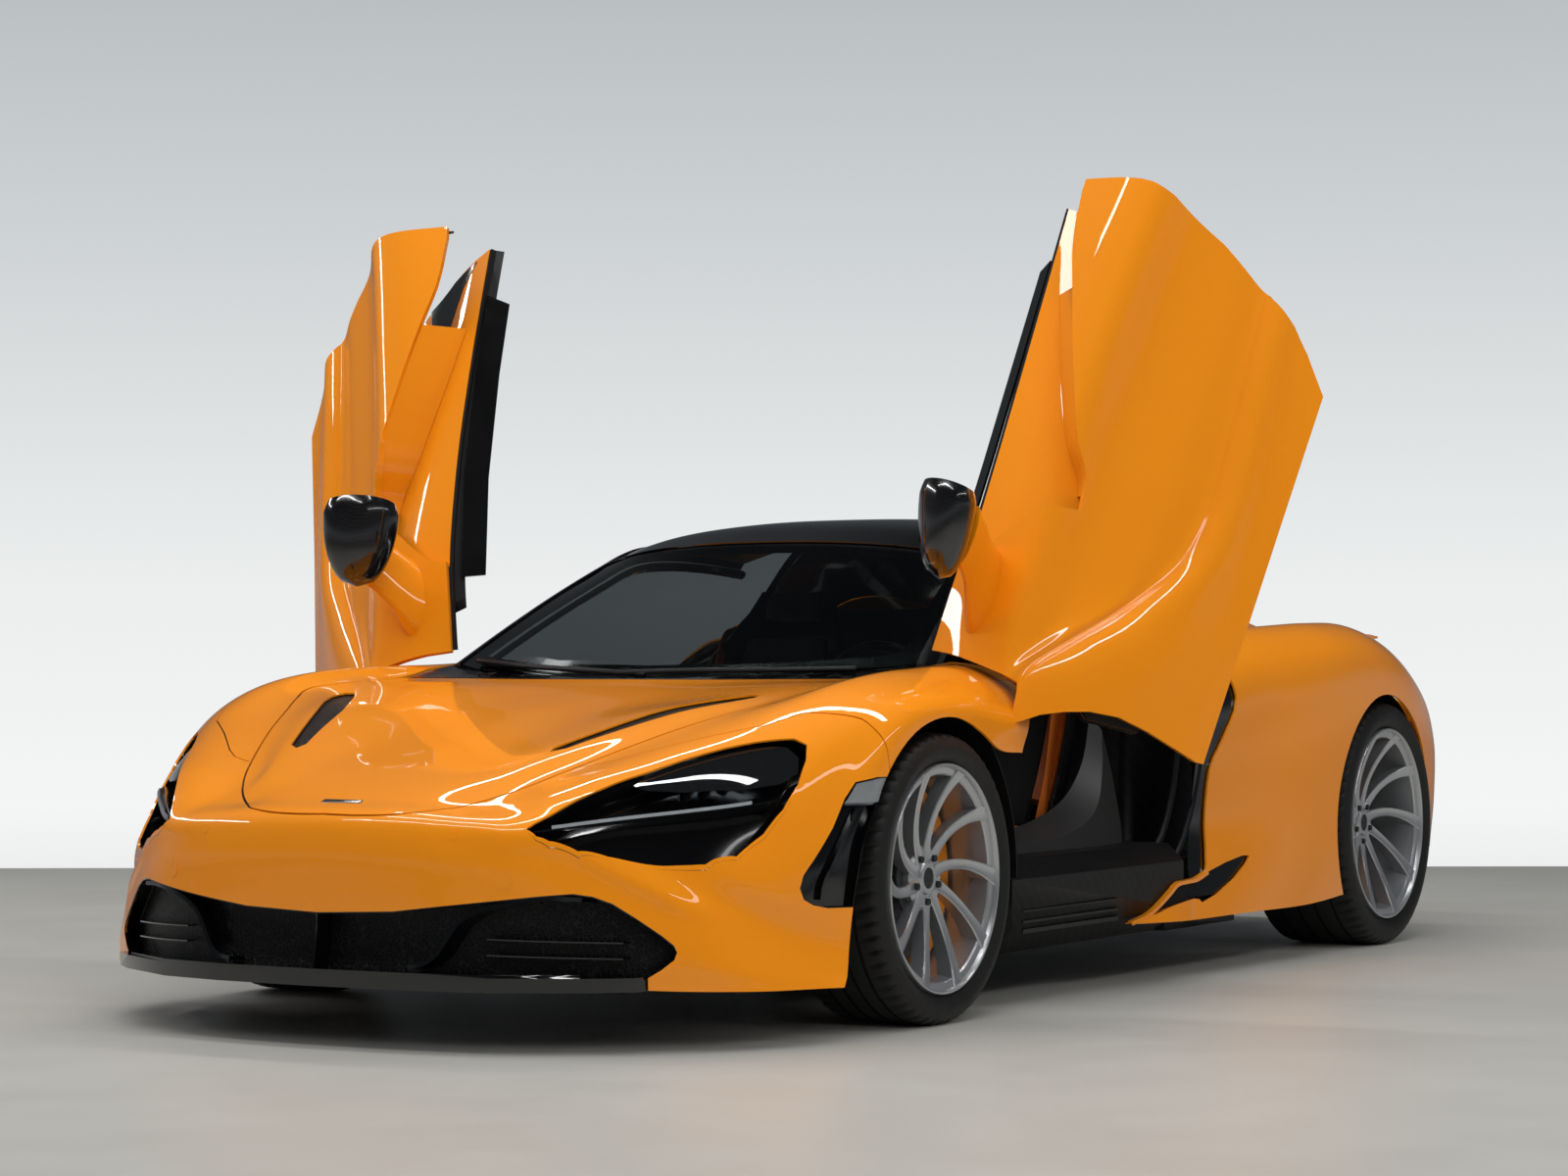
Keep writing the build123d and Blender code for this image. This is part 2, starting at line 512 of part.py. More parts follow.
with BuildPart() as steering_wheel:
    with BuildSketch(Plane(origin=WHEEL_CENTRE, z_dir=COLUMN)) as ring:
        Circle(182)
        Circle(154, mode=Mode.SUBTRACT)
    extrude(ring.sketch, amount=14, both=True)
    with BuildSketch(Plane(origin=WHEEL_CENTRE, z_dir=COLUMN, x_dir=(1, 0, 0))) as spokes:
        Circle(46)
        Rectangle(320, 34)
        with Locations((0, -90)):
            Rectangle(34, 140)
    extrude(spokes.sketch, amount=8, both=True)
    rod(on_column(0), on_column(60 - RUN_GAP), 26)
save(steering_wheel.part, "steering_wheel")

with BuildPart() as centre_console:
    side([(-720, 170.3), (300, 170.3), (300, 400), (-200, 380), (-560, 500), (-720, 499)], -95, 95)
save(centre_console.part, "centre_console")

SEAT_X = 350.0
SEAT_BOLSTER = [(-420, 350), (60, 330), (140, 420), (290, 860), (200, 840), (20, 480), (-400, 430)]
with BuildPart() as seats:
    side([(-440, 170.3), (120, 170.3), (290, 330), (420, 780), (270, 780), (140, 420), (60, 330), (-440, 350)],
         SEAT_X - 235, SEAT_X + 235)
    side([(270, 780), (420, 780), (455, 1000), (390, 1030), (300, 860)], SEAT_X - 140, SEAT_X + 140)
    side(SEAT_BOLSTER, SEAT_X - 235, SEAT_X - 165)
    side(SEAT_BOLSTER, SEAT_X + 165, SEAT_X + 235)
save(pair(seats.part), "seats")

# ---- rear body ---------------------------------------------------------------------
REAR_DRAW = tuple(SKIN * share for share in (-0.60, -0.25, -0.76))
DECK_X = 655.0
INTAKE_SLOT = [(262, 252), (345, 268), (431, 284), (530, 298), (567, 296), (540, 277), (466, 244), (344, 207),
               (252, 190), (240, 200)]
QUARTER_FRONT = [(100, 900), (540, 900), (560, 752), (562, 713), (491, 616), (404, 528), (371, 414), (332, 288),
                 (314, 262), (100, 262)]
TAIL_LAMP = [(430, 702), (700, 664), (800, 622), (842, 572), (846, 500), (830, 500), (822, 560), (786, 602),
             (690, 642), (430, 682)]
with BuildPart() as rear_half:
    add(skin(astern(REAR), REAR_DRAW))
    box((0, 1100), (-300, REAR_Y + 915), (0, 1300), Mode.INTERSECT)

with BuildPart() as rear_deck:
    add(rear_half.part)
    box((0, DECK_X - PANEL_GAP), (400, REAR_Y + 915), (600, 1300), Mode.INTERSECT)
    box((400, 440), (604, 636), (BACK_Z + RUN_GAP, 1112))
save(pair(rear_deck.part), "rear_deck")

with BuildPart() as rear_quarters:
    add(rear_half.part)
    box((DECK_X, 1100), (-300, REAR_Y + 499), (100, 1300), Mode.INTERSECT)
    drum(REAR_Y - 20, 340, REAR_ARCH_R, 700, 1100, Mode.SUBTRACT)
    side([(REAR_Y, 50), (REAR_Y, 340), (REAR_Y + 525, 250), (REAR_Y + 525, 50)], 600, 1100, Mode.SUBTRACT)
    side(QUARTER_FRONT, 600, 1100, Mode.SUBTRACT)
    side(INTAKE_SLOT, 800, 1100, Mode.SUBTRACT)
    box((665, 735), (605, 635), (HAUNCH_Z + RUN_GAP, 862))
save(pair(rear_quarters.part), "rear_quarters")

with BuildPart() as rear_bumper:
    add(skin(astern(TAIL), (0, -40, 0)))
    add(skin(astern(REAR), [1.012 * d for d in REAR_DRAW]), mode=Mode.SUBTRACT)
    front(TAIL_LAMP, REAR_Y + 900, REAR_Y + 400, Mode.SUBTRACT)
    with BuildSketch(Plane.XZ.offset(-REAR_Y - 815)) as holes:
        with Locations((235, 590)):
            Circle(PIPE_R + 8)
    extrude(holes.sketch, amount=300, mode=Mode.SUBTRACT)
save(pair(rear_bumper.part), "rear_bumper")

with BuildPart() as tail_lamps:
    add(skin(astern(TAIL), (0, -26, 0), shift=0.2))
    front(grown(TAIL_LAMP, SEAT_GAP), REAR_Y + 900, REAR_Y + 400, Mode.INTERSECT)
    box((431, 1000), (REAR_Y, REAR_Y + 900), (400, 800), Mode.INTERSECT)
    add(rear_half.part, mode=Mode.SUBTRACT)
save(pair(tail_lamps.part), "tail_lamps")

with BuildPart() as diffuser:
    foot = REAR_Y + 475.5
    side([(foot, FLOOR_Z), (foot, 150), (foot + 254.5, 262), (foot + 254.5, 250)], 0, 560)
    for x in (110, 250, 390, 530):
        side([(foot + 19.5, FLOOR_Z + 16), (foot + 264.5, 262), (foot + 264.5, 150),
              (foot + 139.5, FLOOR_Z + 8)], x, x + 10)
save(pair(diffuser.part), "diffuser")

with BuildPart() as rear_wing:
    side([(REAR_Y + 525, 878), (REAR_Y + 575, 892), (REAR_Y + 665, 890), (REAR_Y + 737, 884),
          (REAR_Y + 737, 878), (REAR_Y + 595, 868)], 0, 640)
    box((300, 320), (REAR_Y + 595, REAR_Y + 655), (845, 880))
    add(rear_deck.part, mode=Mode.SUBTRACT)
save(pair(rear_wing.part), "rear_wing")

with BuildPart() as engine:
    box((-290, 290), (660, 1300), (200, 720))
    box((-200, 200), (1300, REAR_Y + 315), (220, 560))
save(engine.part, "engine")

with BuildPart() as exhausts:
    box((-430, 430), (REAR_Y + 315.3, REAR_Y + 575), (500, 690))
    for hand in (1, -1):
        rod((hand * 235, REAR_Y + 575, 590), (hand * 235, REAR_Y + 777, 590), PIPE_R)
        rod((hand * 235, REAR_Y + 615, 590), (hand * 235, REAR_Y + 777.5, 590), PIPE_R - 5, Mode.SUBTRACT)
save(exhausts.part, "exhausts")

# ---- wheels, brakes, suspension --------------------------------------------------------
# Axle position, wheel's middle plane, tyre radius and width, rim radius.
AXLES = {
    "front": (FRONT_Y, FRONT_X, FRONT_TYRE_R, FRONT_TYRE_W, FRONT_RIM_R),
    "rear": (REAR_Y, REAR_X, REAR_TYRE_R, REAR_TYRE_W, REAR_RIM_R),
}
FLANGE_IN = 19.0                # inner face of a rim flange inside the tyre's side
BEAD = 17.0                     # flange height above the bead seat
WALL = 6.0                      # rim barrel thickness


def revolved(points, x, y, z, hand):
    """Ring whose section is given as (outboard distance, radius) about a wheel's axis."""
    with BuildPart() as ring:
        with BuildSketch(Plane.XY) as section:
            with BuildLine():
                Polyline(*[(hand * a, r) for a, r in points], close=True)
            make_face()
        revolve(section.sketch, axis=Axis.X)
    return ring.part.moved(Location((hand * x, y, z)))


def tyre(radius, width, rim_r):
    half = width / 2
    seat = rim_r - BEAD
    bead = half - FLANGE_IN - 0.4
    return [(-bead, seat), (-bead, rim_r + 1), (-half, rim_r + 28), (16 - half, radius),
            (half - 16, radius), (half, rim_r + 28), (bead, rim_r + 1), (bead, seat)]


def barrel(width, rim_r):
    half = width / 2
    seat = rim_r - BEAD - SEAT_GAP
    deep = seat - 5
    lip = half - FLANGE_IN
    return [(-lip - 13, rim_r), (-lip, rim_r), (-lip, seat), (45 - half, seat), (70 - half, deep),
            (half - 60, deep), (half - 35, seat - 1), (lip, seat), (lip, rim_r), (lip + 13, rim_r),
            (half - 12, seat - WALL), (half - 36, seat - WALL - 1), (half - 60, deep - WALL),
            (70 - half, deep - WALL), (45 - half, seat - WALL), (12 - half, seat - WALL)]


for axle, (y, x, tyre_r, width, rim_r) in AXLES.items():
    for name, hand in (("left", 1), ("right", -1)):
        save(revolved(tyre(tyre_r, width, rim_r), x, y, tyre_r, hand), f"{axle}_{name}_tyre")
        with BuildPart() as rim:
            add(revolved(barrel(width, rim_r), 0, 0, 0, 1))
            drum(0, 0, 74, HUB_FACE, HUB_FACE + 22)
            root = rim_r - BEAD - WALL
            arm = [(HUB_FACE, 60), (HUB_FACE + 24, 60), (width / 2 - 13, root), (width / 2 - 36, root - 1)]
            for k in range(SPOKES):
                spoke = Plane((0, 0, 0), x_dir=(1, 0, 0), z_dir=(0, cos(2 * pi * k / SPOKES), sin(2 * pi * k / SPOKES)))
                prism(spoke.offset(-9), arm, 18)
        part = rim.part if hand > 0 else rim.part.mirror(Plane.YZ)
        save(part.moved(Location((hand * x, y, tyre_r))), f"{axle}_{name}_rim")
        disc = [(-47, DISC_R), (-47 + DISC_T, DISC_R), (-47 + DISC_T, 100), (HUB_FACE, 100), (HUB_FACE, SPINDLE_R),
                (-40, SPINDLE_R), (-40, 60), (-20, 90), (-47, 90)]
        save(revolved(disc, x, y, tyre_r, hand), f"{axle}_{name}_disc")


def caliper(x, y, z, towards):
    """Bridge over the brake disc at the rear (+1) or front (-1) of the axle."""
    with BuildPart() as piece:
        drum(y, z, DISC_R + 22, x - 62, x + 3)
        drum(y, z, 122, x - 100, x + 100, Mode.SUBTRACT)
        drum(y, z, DISC_R + 4, x - 51, x - 9, Mode.SUBTRACT)
        side([(y + towards * 60, z - 300), (y + towards * 60, z - 300), (y + towards * 110, z - 120),
              (y + towards * 110, z + 120), (y + towards * 60, z + 300), (y - towards * 400, z + 300),
              (y - towards * 400, z - 300)][1:], x - 100, x + 100, Mode.SUBTRACT)
    return piece.part


def upright(x, y, z, towards):
    """Upright with its spindle, pins and caliper bracket."""
    king = x - KINGPIN_IN
    with BuildPart() as piece:
        rod((king, y, z - 112), (king, y, z + 108), 20)
        rod((king, y, z - 150), (king, y, z + 146), PIN_R)
        drum(y, z, 42, king - 18, x - 50)
        drum(y, z, SPINDLE_R - RUN_GAP, x - 50, x + HUB_FACE - 4)
        side([(y, z - 34), (y + towards * 150, z - 60), (y + towards * 150, z + 60), (y, z + 34)], king - 6, x - 62)
    return piece.part


def arms(x, y, z, inboard, frame):
    """Upper and lower wishbones."""
    king = x - KINGPIN_IN
    with BuildPart() as piece:
        for low in (z - 146, z + 114):
            for way in (1, -1):
                rod((inboard, y + way * 130, low + 12), (king - 16, y + way * 8, low + 12), 11)
            rod((king, y, low), (king, y, low + 26), 24)
            rod((king, y, low - 1), (king, y, low + 27), PIN_R + RUN_GAP, Mode.SUBTRACT)
        add(frame, mode=Mode.SUBTRACT)
    return piece.part


for name, hand in (("left", 1), ("right", -1)):
    for label, piece in (("knuckle", upright(FRONT_X, FRONT_Y, FRONT_TYRE_R, 1)),
                         ("caliper", caliper(FRONT_X, FRONT_Y, FRONT_TYRE_R, 1))):
        save(piece if hand > 0 else piece.mirror(Plane.YZ), f"front_{name}_{label}")
save(pair(upright(REAR_X, REAR_Y, REAR_TYRE_R, -1)), "rear_uprights")
save(pair(caliper(REAR_X, REAR_Y, REAR_TYRE_R, -1)), "rear_calipers")
with BuildPart() as rear_frame:
    box((400, 469.7), (640.3, REAR_Y + 565), (200, 300))
    box((400, 469.7), (REAR_Y - 145, REAR_Y + 145), (300, 500))
    box((290.3, 400), (900, 960), (200, 300))
save(pair(rear_frame.part), "rear_frame")
save(pair(arms(FRONT_X, FRONT_Y, FRONT_TYRE_R, RAIL_X[1] - 3, front_frame.part)), "front_wishbones")
save(pair(arms(REAR_X, REAR_Y, REAR_TYRE_R, 467, rear_frame.part)), "rear_wishbones")


LINER_IN = 667.0                # inner edge of a front arch liner


def liner(y, z, radius, inner, outer):
    with BuildPart() as piece:
        drum(y, z, radius + 4, inner, outer)
        drum(y, z, radius, inner - 1, outer + 1, Mode.SUBTRACT)
        box((inner - 2, outer + 2), (y - 600, y + 600), (z - 600, z - 20), Mode.SUBTRACT)
    return piece.part


with BuildPart() as arch_liners:
    add(liner(FRONT_Y, FRONT_TYRE_R, FRONT_ARCH_R + ARCH_LINER_GAP, LINER_IN, 925))
    add(liner(REAR_Y - 20, 340, REAR_ARCH_R + 8, 610, 940))
    add(clam.part, mode=Mode.SUBTRACT)
    add(rear_half.part, mode=Mode.SUBTRACT)
    add(side_lamps.part, mode=Mode.SUBTRACT)
save(pair(largest(arch_liners.part, 2)), "arch_liners")

# ---- doors ---------------------------------------------------------------------------
DOOR_DRAW = (-22, 0, -4)
DOOR_OUTLINE = [(-823, 650), (-741, 657), (-721, 662), (-706, 739), (-691, 813), (-680, 1000), (500, 1000),
                (522, 849), (529, 753), (527, 725), (511, 665), (442, 515), (365, 394), (303, 300), (252, 250),
                (166, 185), (-755, 183), (-757, 203), (-746, 257), (-730, 336), (-722, 412), (-733, 482),
                (-753, 537), (-778, 589), (-800, 618)]
# Inner skin of the left door, shut: its outer face stands away from the blade towards the
# rear, which leaves the air channel between them. Columns: belt, upper, middle, lower.
CARD = [
    [(705, -760, 850), (830, -760, 770), (905, -760, 600), (908, -760, 350)],
    [(742, -500, 852), (838, -500, 770), (886, -500, 600), (900, -500, 350)],
    [(735, -200, 858), (800, -200, 780), (838, -200, 600), (880, -200, 350)],
    [(705, 100, 864), (745, 100, 790), (780, 100, 600), (840, 100, 350)],
    [(672, 350, 868), (700, 350, 790), (730, 350, 600), (800, 350, 350)],
    [(650, 500, 870), (672, 500, 790), (700, 500, 600), (760, 500, 350)],
]
CARD_OUTLINE = [(-655, 600), (-640, 700), (-560, 838), (470, 862), (450, 700), (400, 540), (300, 430), (180, 352),
                (-735, 352), (-745, 480)]
HINGE_BOX = [(-655, 600), (-640, 700), (-600, 780), (-420, 800), (-380, 600), (-380, 352), (-735, 352), (-745, 480)]
for name, hand in (("left", 1), ("right", -1)):
    with BuildPart() as door_skin:
        add(skin(DOOR, DOOR_DRAW, symmetric=False))
        side(DOOR_OUTLINE, 500, 1100, Mode.INTERSECT)
    save_door(door_skin.part, f"door_{name}_skin", hand)
    with BuildPart() as inner:
        add(skin(CARD, (-40, 0, 0), symmetric=False))
        side(CARD_OUTLINE, 400, 1100, Mode.INTERSECT)
    with BuildPart() as door_card:
        add(skin([[(x - 22.4, y, z - 4) for x, y, z in row] for row in DOOR], (-72, 0, 0), symmetric=False))
        side(HINGE_BOX, 400, 1100, Mode.INTERSECT)
        add(inner.part)
        rod(on_hinge(-275), on_hinge(-192), 20)
        rod(on_hinge(-210), (885, -685, 495), 15)
        rod(on_hinge(-280), on_hinge(-180), PIN_R + RUN_GAP, Mode.SUBTRACT)
        add(door_skin.part, mode=Mode.SUBTRACT)
    save_door(largest(door_card.part, 1)[0], f"door_{name}_card", hand)
    with BuildPart() as shell:
        with BuildSketch(Plane.XY) as oval:
            with BuildLine():
                Spline((-112, 0), (-84, 52), (-10, 70), (70, 54), (104, 0))
                Line((104, 0), (-112, 0))
            make_face()
        revolve(oval.sketch, axis=Axis.X)
        box((-200, 200), (34, 200), (-200, 200), Mode.SUBTRACT)
    with BuildPart() as door_mirror:
        add(shell.part.moved(Location(MIRROR)))
        rod((1000, -478, 905), (826, -551, 785), 16)
        add(door_skin.part, mode=Mode.SUBTRACT)
        add(door_card.part, mode=Mode.SUBTRACT)
    save_door(largest(door_mirror.part, 1)[0], f"door_{name}_mirror", hand)
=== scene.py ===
import bpy
import bmesh
import numpy
from math import cos, pi, radians, sin, sqrt
from mathutils import Matrix, Vector
from mathutils.bvhtree import BVHTree


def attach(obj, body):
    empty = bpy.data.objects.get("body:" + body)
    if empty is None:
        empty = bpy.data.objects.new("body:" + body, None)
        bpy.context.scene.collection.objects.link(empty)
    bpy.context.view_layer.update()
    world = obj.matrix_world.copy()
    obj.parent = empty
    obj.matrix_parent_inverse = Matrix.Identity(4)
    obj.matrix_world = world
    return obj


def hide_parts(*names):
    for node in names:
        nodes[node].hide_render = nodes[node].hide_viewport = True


# The frame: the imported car, in metres, with its doors stored open.
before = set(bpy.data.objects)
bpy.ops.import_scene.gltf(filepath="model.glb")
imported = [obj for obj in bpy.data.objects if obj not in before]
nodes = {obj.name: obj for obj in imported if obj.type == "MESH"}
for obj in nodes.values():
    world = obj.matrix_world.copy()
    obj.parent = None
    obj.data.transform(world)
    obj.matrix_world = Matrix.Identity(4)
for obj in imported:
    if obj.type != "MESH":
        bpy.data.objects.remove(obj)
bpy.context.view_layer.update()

# ---- Camera and studio ------------------------------------------------------
# A low camera looks across the nose from the front left. The floor is pale
# polished concrete that ends in a straight line, with a bright paper sweep behind
# it. Narrow skylights draw lines of light on the car, and wide fills soften its shadows.
EYE = (4.831, -8.449, 0.824)          # metres, level with the cowl
TILT, ROLL, HEADING = radians(91.07), radians(0.07), radians(30.62)
camera = bpy.data.objects.new("camera", bpy.data.cameras.new("camera"))
camera.data.sensor_width = 36.0
camera.data.lens = 84.375
camera.location = EYE
camera.rotation_euler = (TILT, ROLL, HEADING)
bpy.context.scene.collection.objects.link(camera)
bpy.context.scene.camera = camera


def linear(code):
    """Linear colour of an sRGB hex code."""
    parts = [int(code[k:k + 2], 16) / 255 for k in (0, 2, 4)]
    return [c / 12.92 if c <= 0.04045 else ((c + 0.055) / 1.055) ** 2.4 for c in parts] + [1.0]


def add(tree, kind, inputs, **settings):
    """Adds a shader node. Inputs are values, or the output sockets that feed them."""
    made = tree.nodes.new("ShaderNode" + kind)
    for name, value in settings.items():
        setattr(made, name, value)
    for socket, value in inputs.items():
        if isinstance(value, bpy.types.NodeSocket):
            tree.links.new(value, made.inputs[socket])
        else:
            made.inputs[socket].default_value = value
    return made


def ramp(tree, factor, stops):
    """Colour ramp with stops of (place, colour)."""
    made = add(tree, "ValToRGB", {0: factor})
    band = made.color_ramp
    while len(band.elements) < len(stops):
        band.elements.new(0.5)
    for element, (place, colour) in zip(band.elements, stops):
        element.position = place
        element.color = colour
    return made.outputs[0]


def finish(name, **values):
    """New material with one main shader, whose sockets get the values. Returns material, tree, shader."""
    made = bpy.data.materials.new(name)
    made.use_nodes = True
    shader = made.node_tree.nodes["Principled BSDF"]
    for socket, value in values.items():
        shader.inputs[socket.replace("_", " ")].default_value = value
    return made, made.node_tree, shader


def own_place(tree):
    """Coordinates that stay with the piece when its body moves."""
    return add(tree, "TexCoord", {}).outputs["Object"]


def pattern(tree, scale_mm, detail=4.0):
    """Noise with features about so many millimetres wide."""
    return add(tree, "TexNoise", {"Vector": own_place(tree), "Scale": 1000.0 / scale_mm, "Detail": detail,
                                  "Roughness": 0.55}).outputs[0]


def relief(tree, shader, height, depth_mm):
    """Bump of so many millimetres on a shader."""
    bump = add(tree, "Bump", {"Height": height, "Distance": depth_mm / 1000})
    tree.links.new(bump.outputs[0], shader.inputs["Normal"])


def mottle(tree, shader, factor, first, second, socket="Base Color"):
    """Two colours or two values mixed by a pattern into one socket."""
    if socket == "Base Color":
        mixed = add(tree, "Mix", {0: factor, 6: first, 7: second}, data_type="RGBA").outputs[2]
    else:
        mixed = add(tree, "MapRange", {0: factor, 3: first, 4: second}).outputs[0]
    tree.links.new(mixed, shader.inputs[socket])


def coating(name, size_mm, first, second, detail=4.0, sheen=None, bump=None, **values):
    """Material whose colour drifts between two hex codes over features of some size.

    Sheen is the size of a pattern in its roughness and the two ends of that. Bump is the size
    and the depth of its relief. Both may end with their own pattern's detail."""
    made, tree, shader = finish(name, **values)
    mottle(tree, shader, pattern(tree, size_mm, detail), linear(first), linear(second))
    if sheen:
        size, low, high, *own = sheen
        mottle(tree, shader, pattern(tree, size, *own), low, high, "Roughness")
    if bump:
        size, depth, *own = bump
        relief(tree, shader, pattern(tree, size, *own), depth)
    return made


SHARP = radians(32)             # edges sharper than this stay crisp


def show(bm, name, material):
    """Writes a bmesh out as a new object with a material, smooth but for its real edges."""
    mesh = bpy.data.meshes.new(name)
    bm.to_mesh(mesh)
    bm.free()
    mesh.shade_smooth()
    mesh.set_sharp_from_angle(angle=SHARP)
    mesh.materials.append(material)
    piece = bpy.data.objects.new(name, mesh)
    bpy.context.scene.collection.objects.link(piece)
    return piece


# Polished concrete: a power-floated, sealed slab, so it is pale, cloudy and softly glossy.
concrete = coating("polished_concrete", 900.0, "B4B1AA", "C2C0BA", 6.0, sheen=(260.0, 0.30, 0.46, 5.0),
                   bump=(14.0, 0.3), Roughness=0.38)

FLOOR_FAR = 14.4                # from the camera to the slab's far edge
FLOOR_SIZE = 60.0
bm = bmesh.new()
bmesh.ops.create_grid(bm, x_segments=1, y_segments=1, size=FLOOR_SIZE / 2)
bmesh.ops.translate(bm, verts=bm.verts, vec=(0, FLOOR_FAR - FLOOR_SIZE / 2, 0))
bmesh.ops.rotate(bm, verts=bm.verts, matrix=Matrix.Rotation(HEADING, 3, "Z"))
bmesh.ops.translate(bm, verts=bm.verts, vec=(EYE[0], EYE[1], 0))
floor = show(bm, "floor", concrete)

# Paper sweep: the sky of the scene, near white low down and grey higher up.
world = bpy.data.worlds.new("sweep")
bpy.context.scene.world = world
world.use_nodes = True
tree = world.node_tree
height = add(tree, "SeparateXYZ", {0: add(tree, "TexCoord", {}).outputs["Generated"]}).outputs[2]
rise = add(tree, "MapRange", {0: height, 1: -0.10, 2: 0.20}).outputs[0]
sweep = ramp(tree, rise, [(0.0, linear("D8D9D8")), (0.20, linear("F4F5F5")), (0.40, linear("ECEEEE")),
                          (0.70, linear("CFD3D5")), (0.98, linear("B4B9BB"))])
tree.links.new(sweep, tree.nodes["Background"].inputs[0])
tree.nodes["Background"].inputs[1].default_value = 1.0
# What the car mirrors is the dark hall round the sweep, with a pale band at the horizon;
# the sweep's own soft light still fills the shadows.
hall = ramp(tree, add(tree, "MapRange", {0: height, 1: -0.3, 2: 0.9}).outputs[0],
            [(0.0, linear("5A5854")), (0.24, linear("74747A")), (0.29, linear("8C9094")),
             (0.36, linear("45484B")), (0.75, linear("26282B"))])
dim = add(tree, "Background", {0: hall, 1: 1.0})
light = add(tree, "LightPath", {})
fill = add(tree, "Math", {0: light.outputs["Is Diffuse Ray"], 1: 0.62}, operation="MULTIPLY").outputs[0]
seen = add(tree, "Math", {0: light.outputs["Is Camera Ray"], 1: fill}, operation="ADD").outputs[0]
both = add(tree, "MixShader", {0: seen, 1: dim.outputs[0], 2: tree.nodes["Background"].outputs[0]})
tree.links.new(both.outputs[0], tree.nodes["World Output"].inputs[0])


def softbox(name, place, target, wide, tall, watts, mirrored=True):
    """Area lamp that faces a target. Gloss may or may not mirror it."""
    lamp = bpy.data.lights.new(name, "AREA")
    lamp.shape = "RECTANGLE"
    lamp.size, lamp.size_y, lamp.energy = wide, tall, watts
    holder = bpy.data.objects.new(name, lamp)
    holder.location = place
    holder.visible_glossy = mirrored
    way = Vector(target) - Vector(place)
    holder.rotation_euler = way.to_track_quat("-Z", "Y").to_euler()
    bpy.context.scene.collection.objects.link(holder)


for y in (-4.6, -1.6, 1.6):
    softbox(f"skylight_{y}", (0.0, y, 6.5), (0, 0.4 * y, 0), 9.0, 0.30, 150)
softbox("front_fill", (5.0, -7.5, 4.5), (0, -1.0, 0.6), 6.0, 2.0, 125, mirrored=False)
softbox("left_strip", (7.5, 0.0, 4.6), (0.5, 0, 0.8), 9.0, 0.25, 40)
softbox("left_fill", (7.5, 0.0, 4.6), (0.5, 0, 0.8), 9.0, 1.0, 90, mirrored=False)
softbox("right_strip", (-7.0, -2.0, 4.5), (-0.5, 0, 0.8), 7.0, 0.25, 100)

bpy.context.scene.view_settings.view_transform = "Standard"


# ---- Front clamshell: bonnet, fenders, bumper, cowl ----------------------------
# Superformed aluminium bonnet and fenders and a moulded bumper, all in the same
# orange: a metallic base coat under a thick clear coat that is flatted and polished.
# The skins are hemmed sheets that meet at even shut lines over a dark frame.
CLAM = [
    [(0, -700, 842), (230, -700, 838), (440, -700, 828), (640, -700, 814),
     (780, -700, 802), (885, -715, 758), (945, -760, 690), (958, -820, 600)],
    [(0, -900, 796), (230, -900, 794), (450, -900, 790), (660, -900, 786),
     (790, -900, 802), (885, -905, 768), (946, -920, 705), (960, -940, 612)],
    [(0, -1050, 768), (230, -1050, 768), (460, -1050, 770), (690, -1050, 774),
     (795, -1050, 797), (885, -1050, 770), (948, -1050, 722), (960, -1050, 660)],
    [(0, -1200, 745), (230, -1200, 748), (490, -1200, 758), (712, -1200, 766),
     (800, -1200, 789), (885, -1200, 764), (948, -1200, 722), (960, -1200, 660)],
    [(0, -1400, 712), (225, -1400, 714), (520, -1400, 734), (682, -1400, 736),
     (788, -1400, 760), (880, -1400, 732), (940, -1400, 684), (957, -1400, 610)],
    [(0, -1540, 684), (215, -1540, 687), (492, -1540, 714), (618, -1540, 704),
     (770, -1540, 718), (868, -1540, 676), (928, -1530, 592), (952, -1535, 460)],
    [(0, -1700, 648), (200, -1700, 650), (438, -1700, 672), (545, -1700, 660),
     (735, -1700, 656), (846, -1690, 580), (912, -1650, 450), (946, -1575, 350)],
    [(0, -1850, 610), (190, -1850, 611), (380, -1850, 625), (468, -1850, 608),
     (660, -1850, 608), (790, -1820, 522), (880, -1740, 404), (942, -1590, 280)],
    [(0, -2000, 567), (190, -2000, 567), (318, -2000, 566), (385, -2000, 550),
     (585, -1990, 556), (720, -1930, 462), (835, -1845, 354), (940, -1598, 230)],
    [(0, -2130, 520), (185, -2124, 518), (290, -2112, 509), (390, -2098, 505),
     (540, -2080, 500), (660, -2010, 412), (805, -1885, 308), (940, -1604, 195)],
    [(0, -2215, 485), (190, -2207, 483), (320, -2190, 476), (430, -2167, 466),
     (530, -2125, 447), (650, -2045, 372), (800, -1910, 275), (942, -1610, 172)],
    [(0, -2234, 425), (200, -2226, 424), (345, -2204, 417), (460, -2168, 406),
     (560, -2112, 385), (672, -2030, 322), (812, -1905, 240), (944, -1616, 155)],
    [(0, -2236, 340), (210, -2229, 338), (365, -2205, 331), (485, -2163, 321),
     (590, -2100, 308), (695, -2020, 262), (825, -1900, 202), (946, -1622, 142)],
    [(0, -2236, 250), (215, -2229, 250), (378, -2205, 245), (503, -2156, 237),
     (610, -2092, 228), (715, -2012, 198), (838, -1893, 165), (948, -1630, 132)],
    [(0, -2250, 160), (220, -2241, 164), (388, -2208, 160), (518, -2152, 148),
     (625, -2080, 138), (728, -2000, 130), (848, -1882, 125), (950, -1640, 120)],
]
LID_EDGE = [(0, -2206), (90, -2204), (172, -2193), (228, -2171), (262, -2138), (333, -2067), (392, -1988),
            (451, -1883), (518, -1753), (606, -1570), (672, -1440), (706, -1365), (712, -1320),
            (702, -1270), (672, -1150), (648, -1040)]
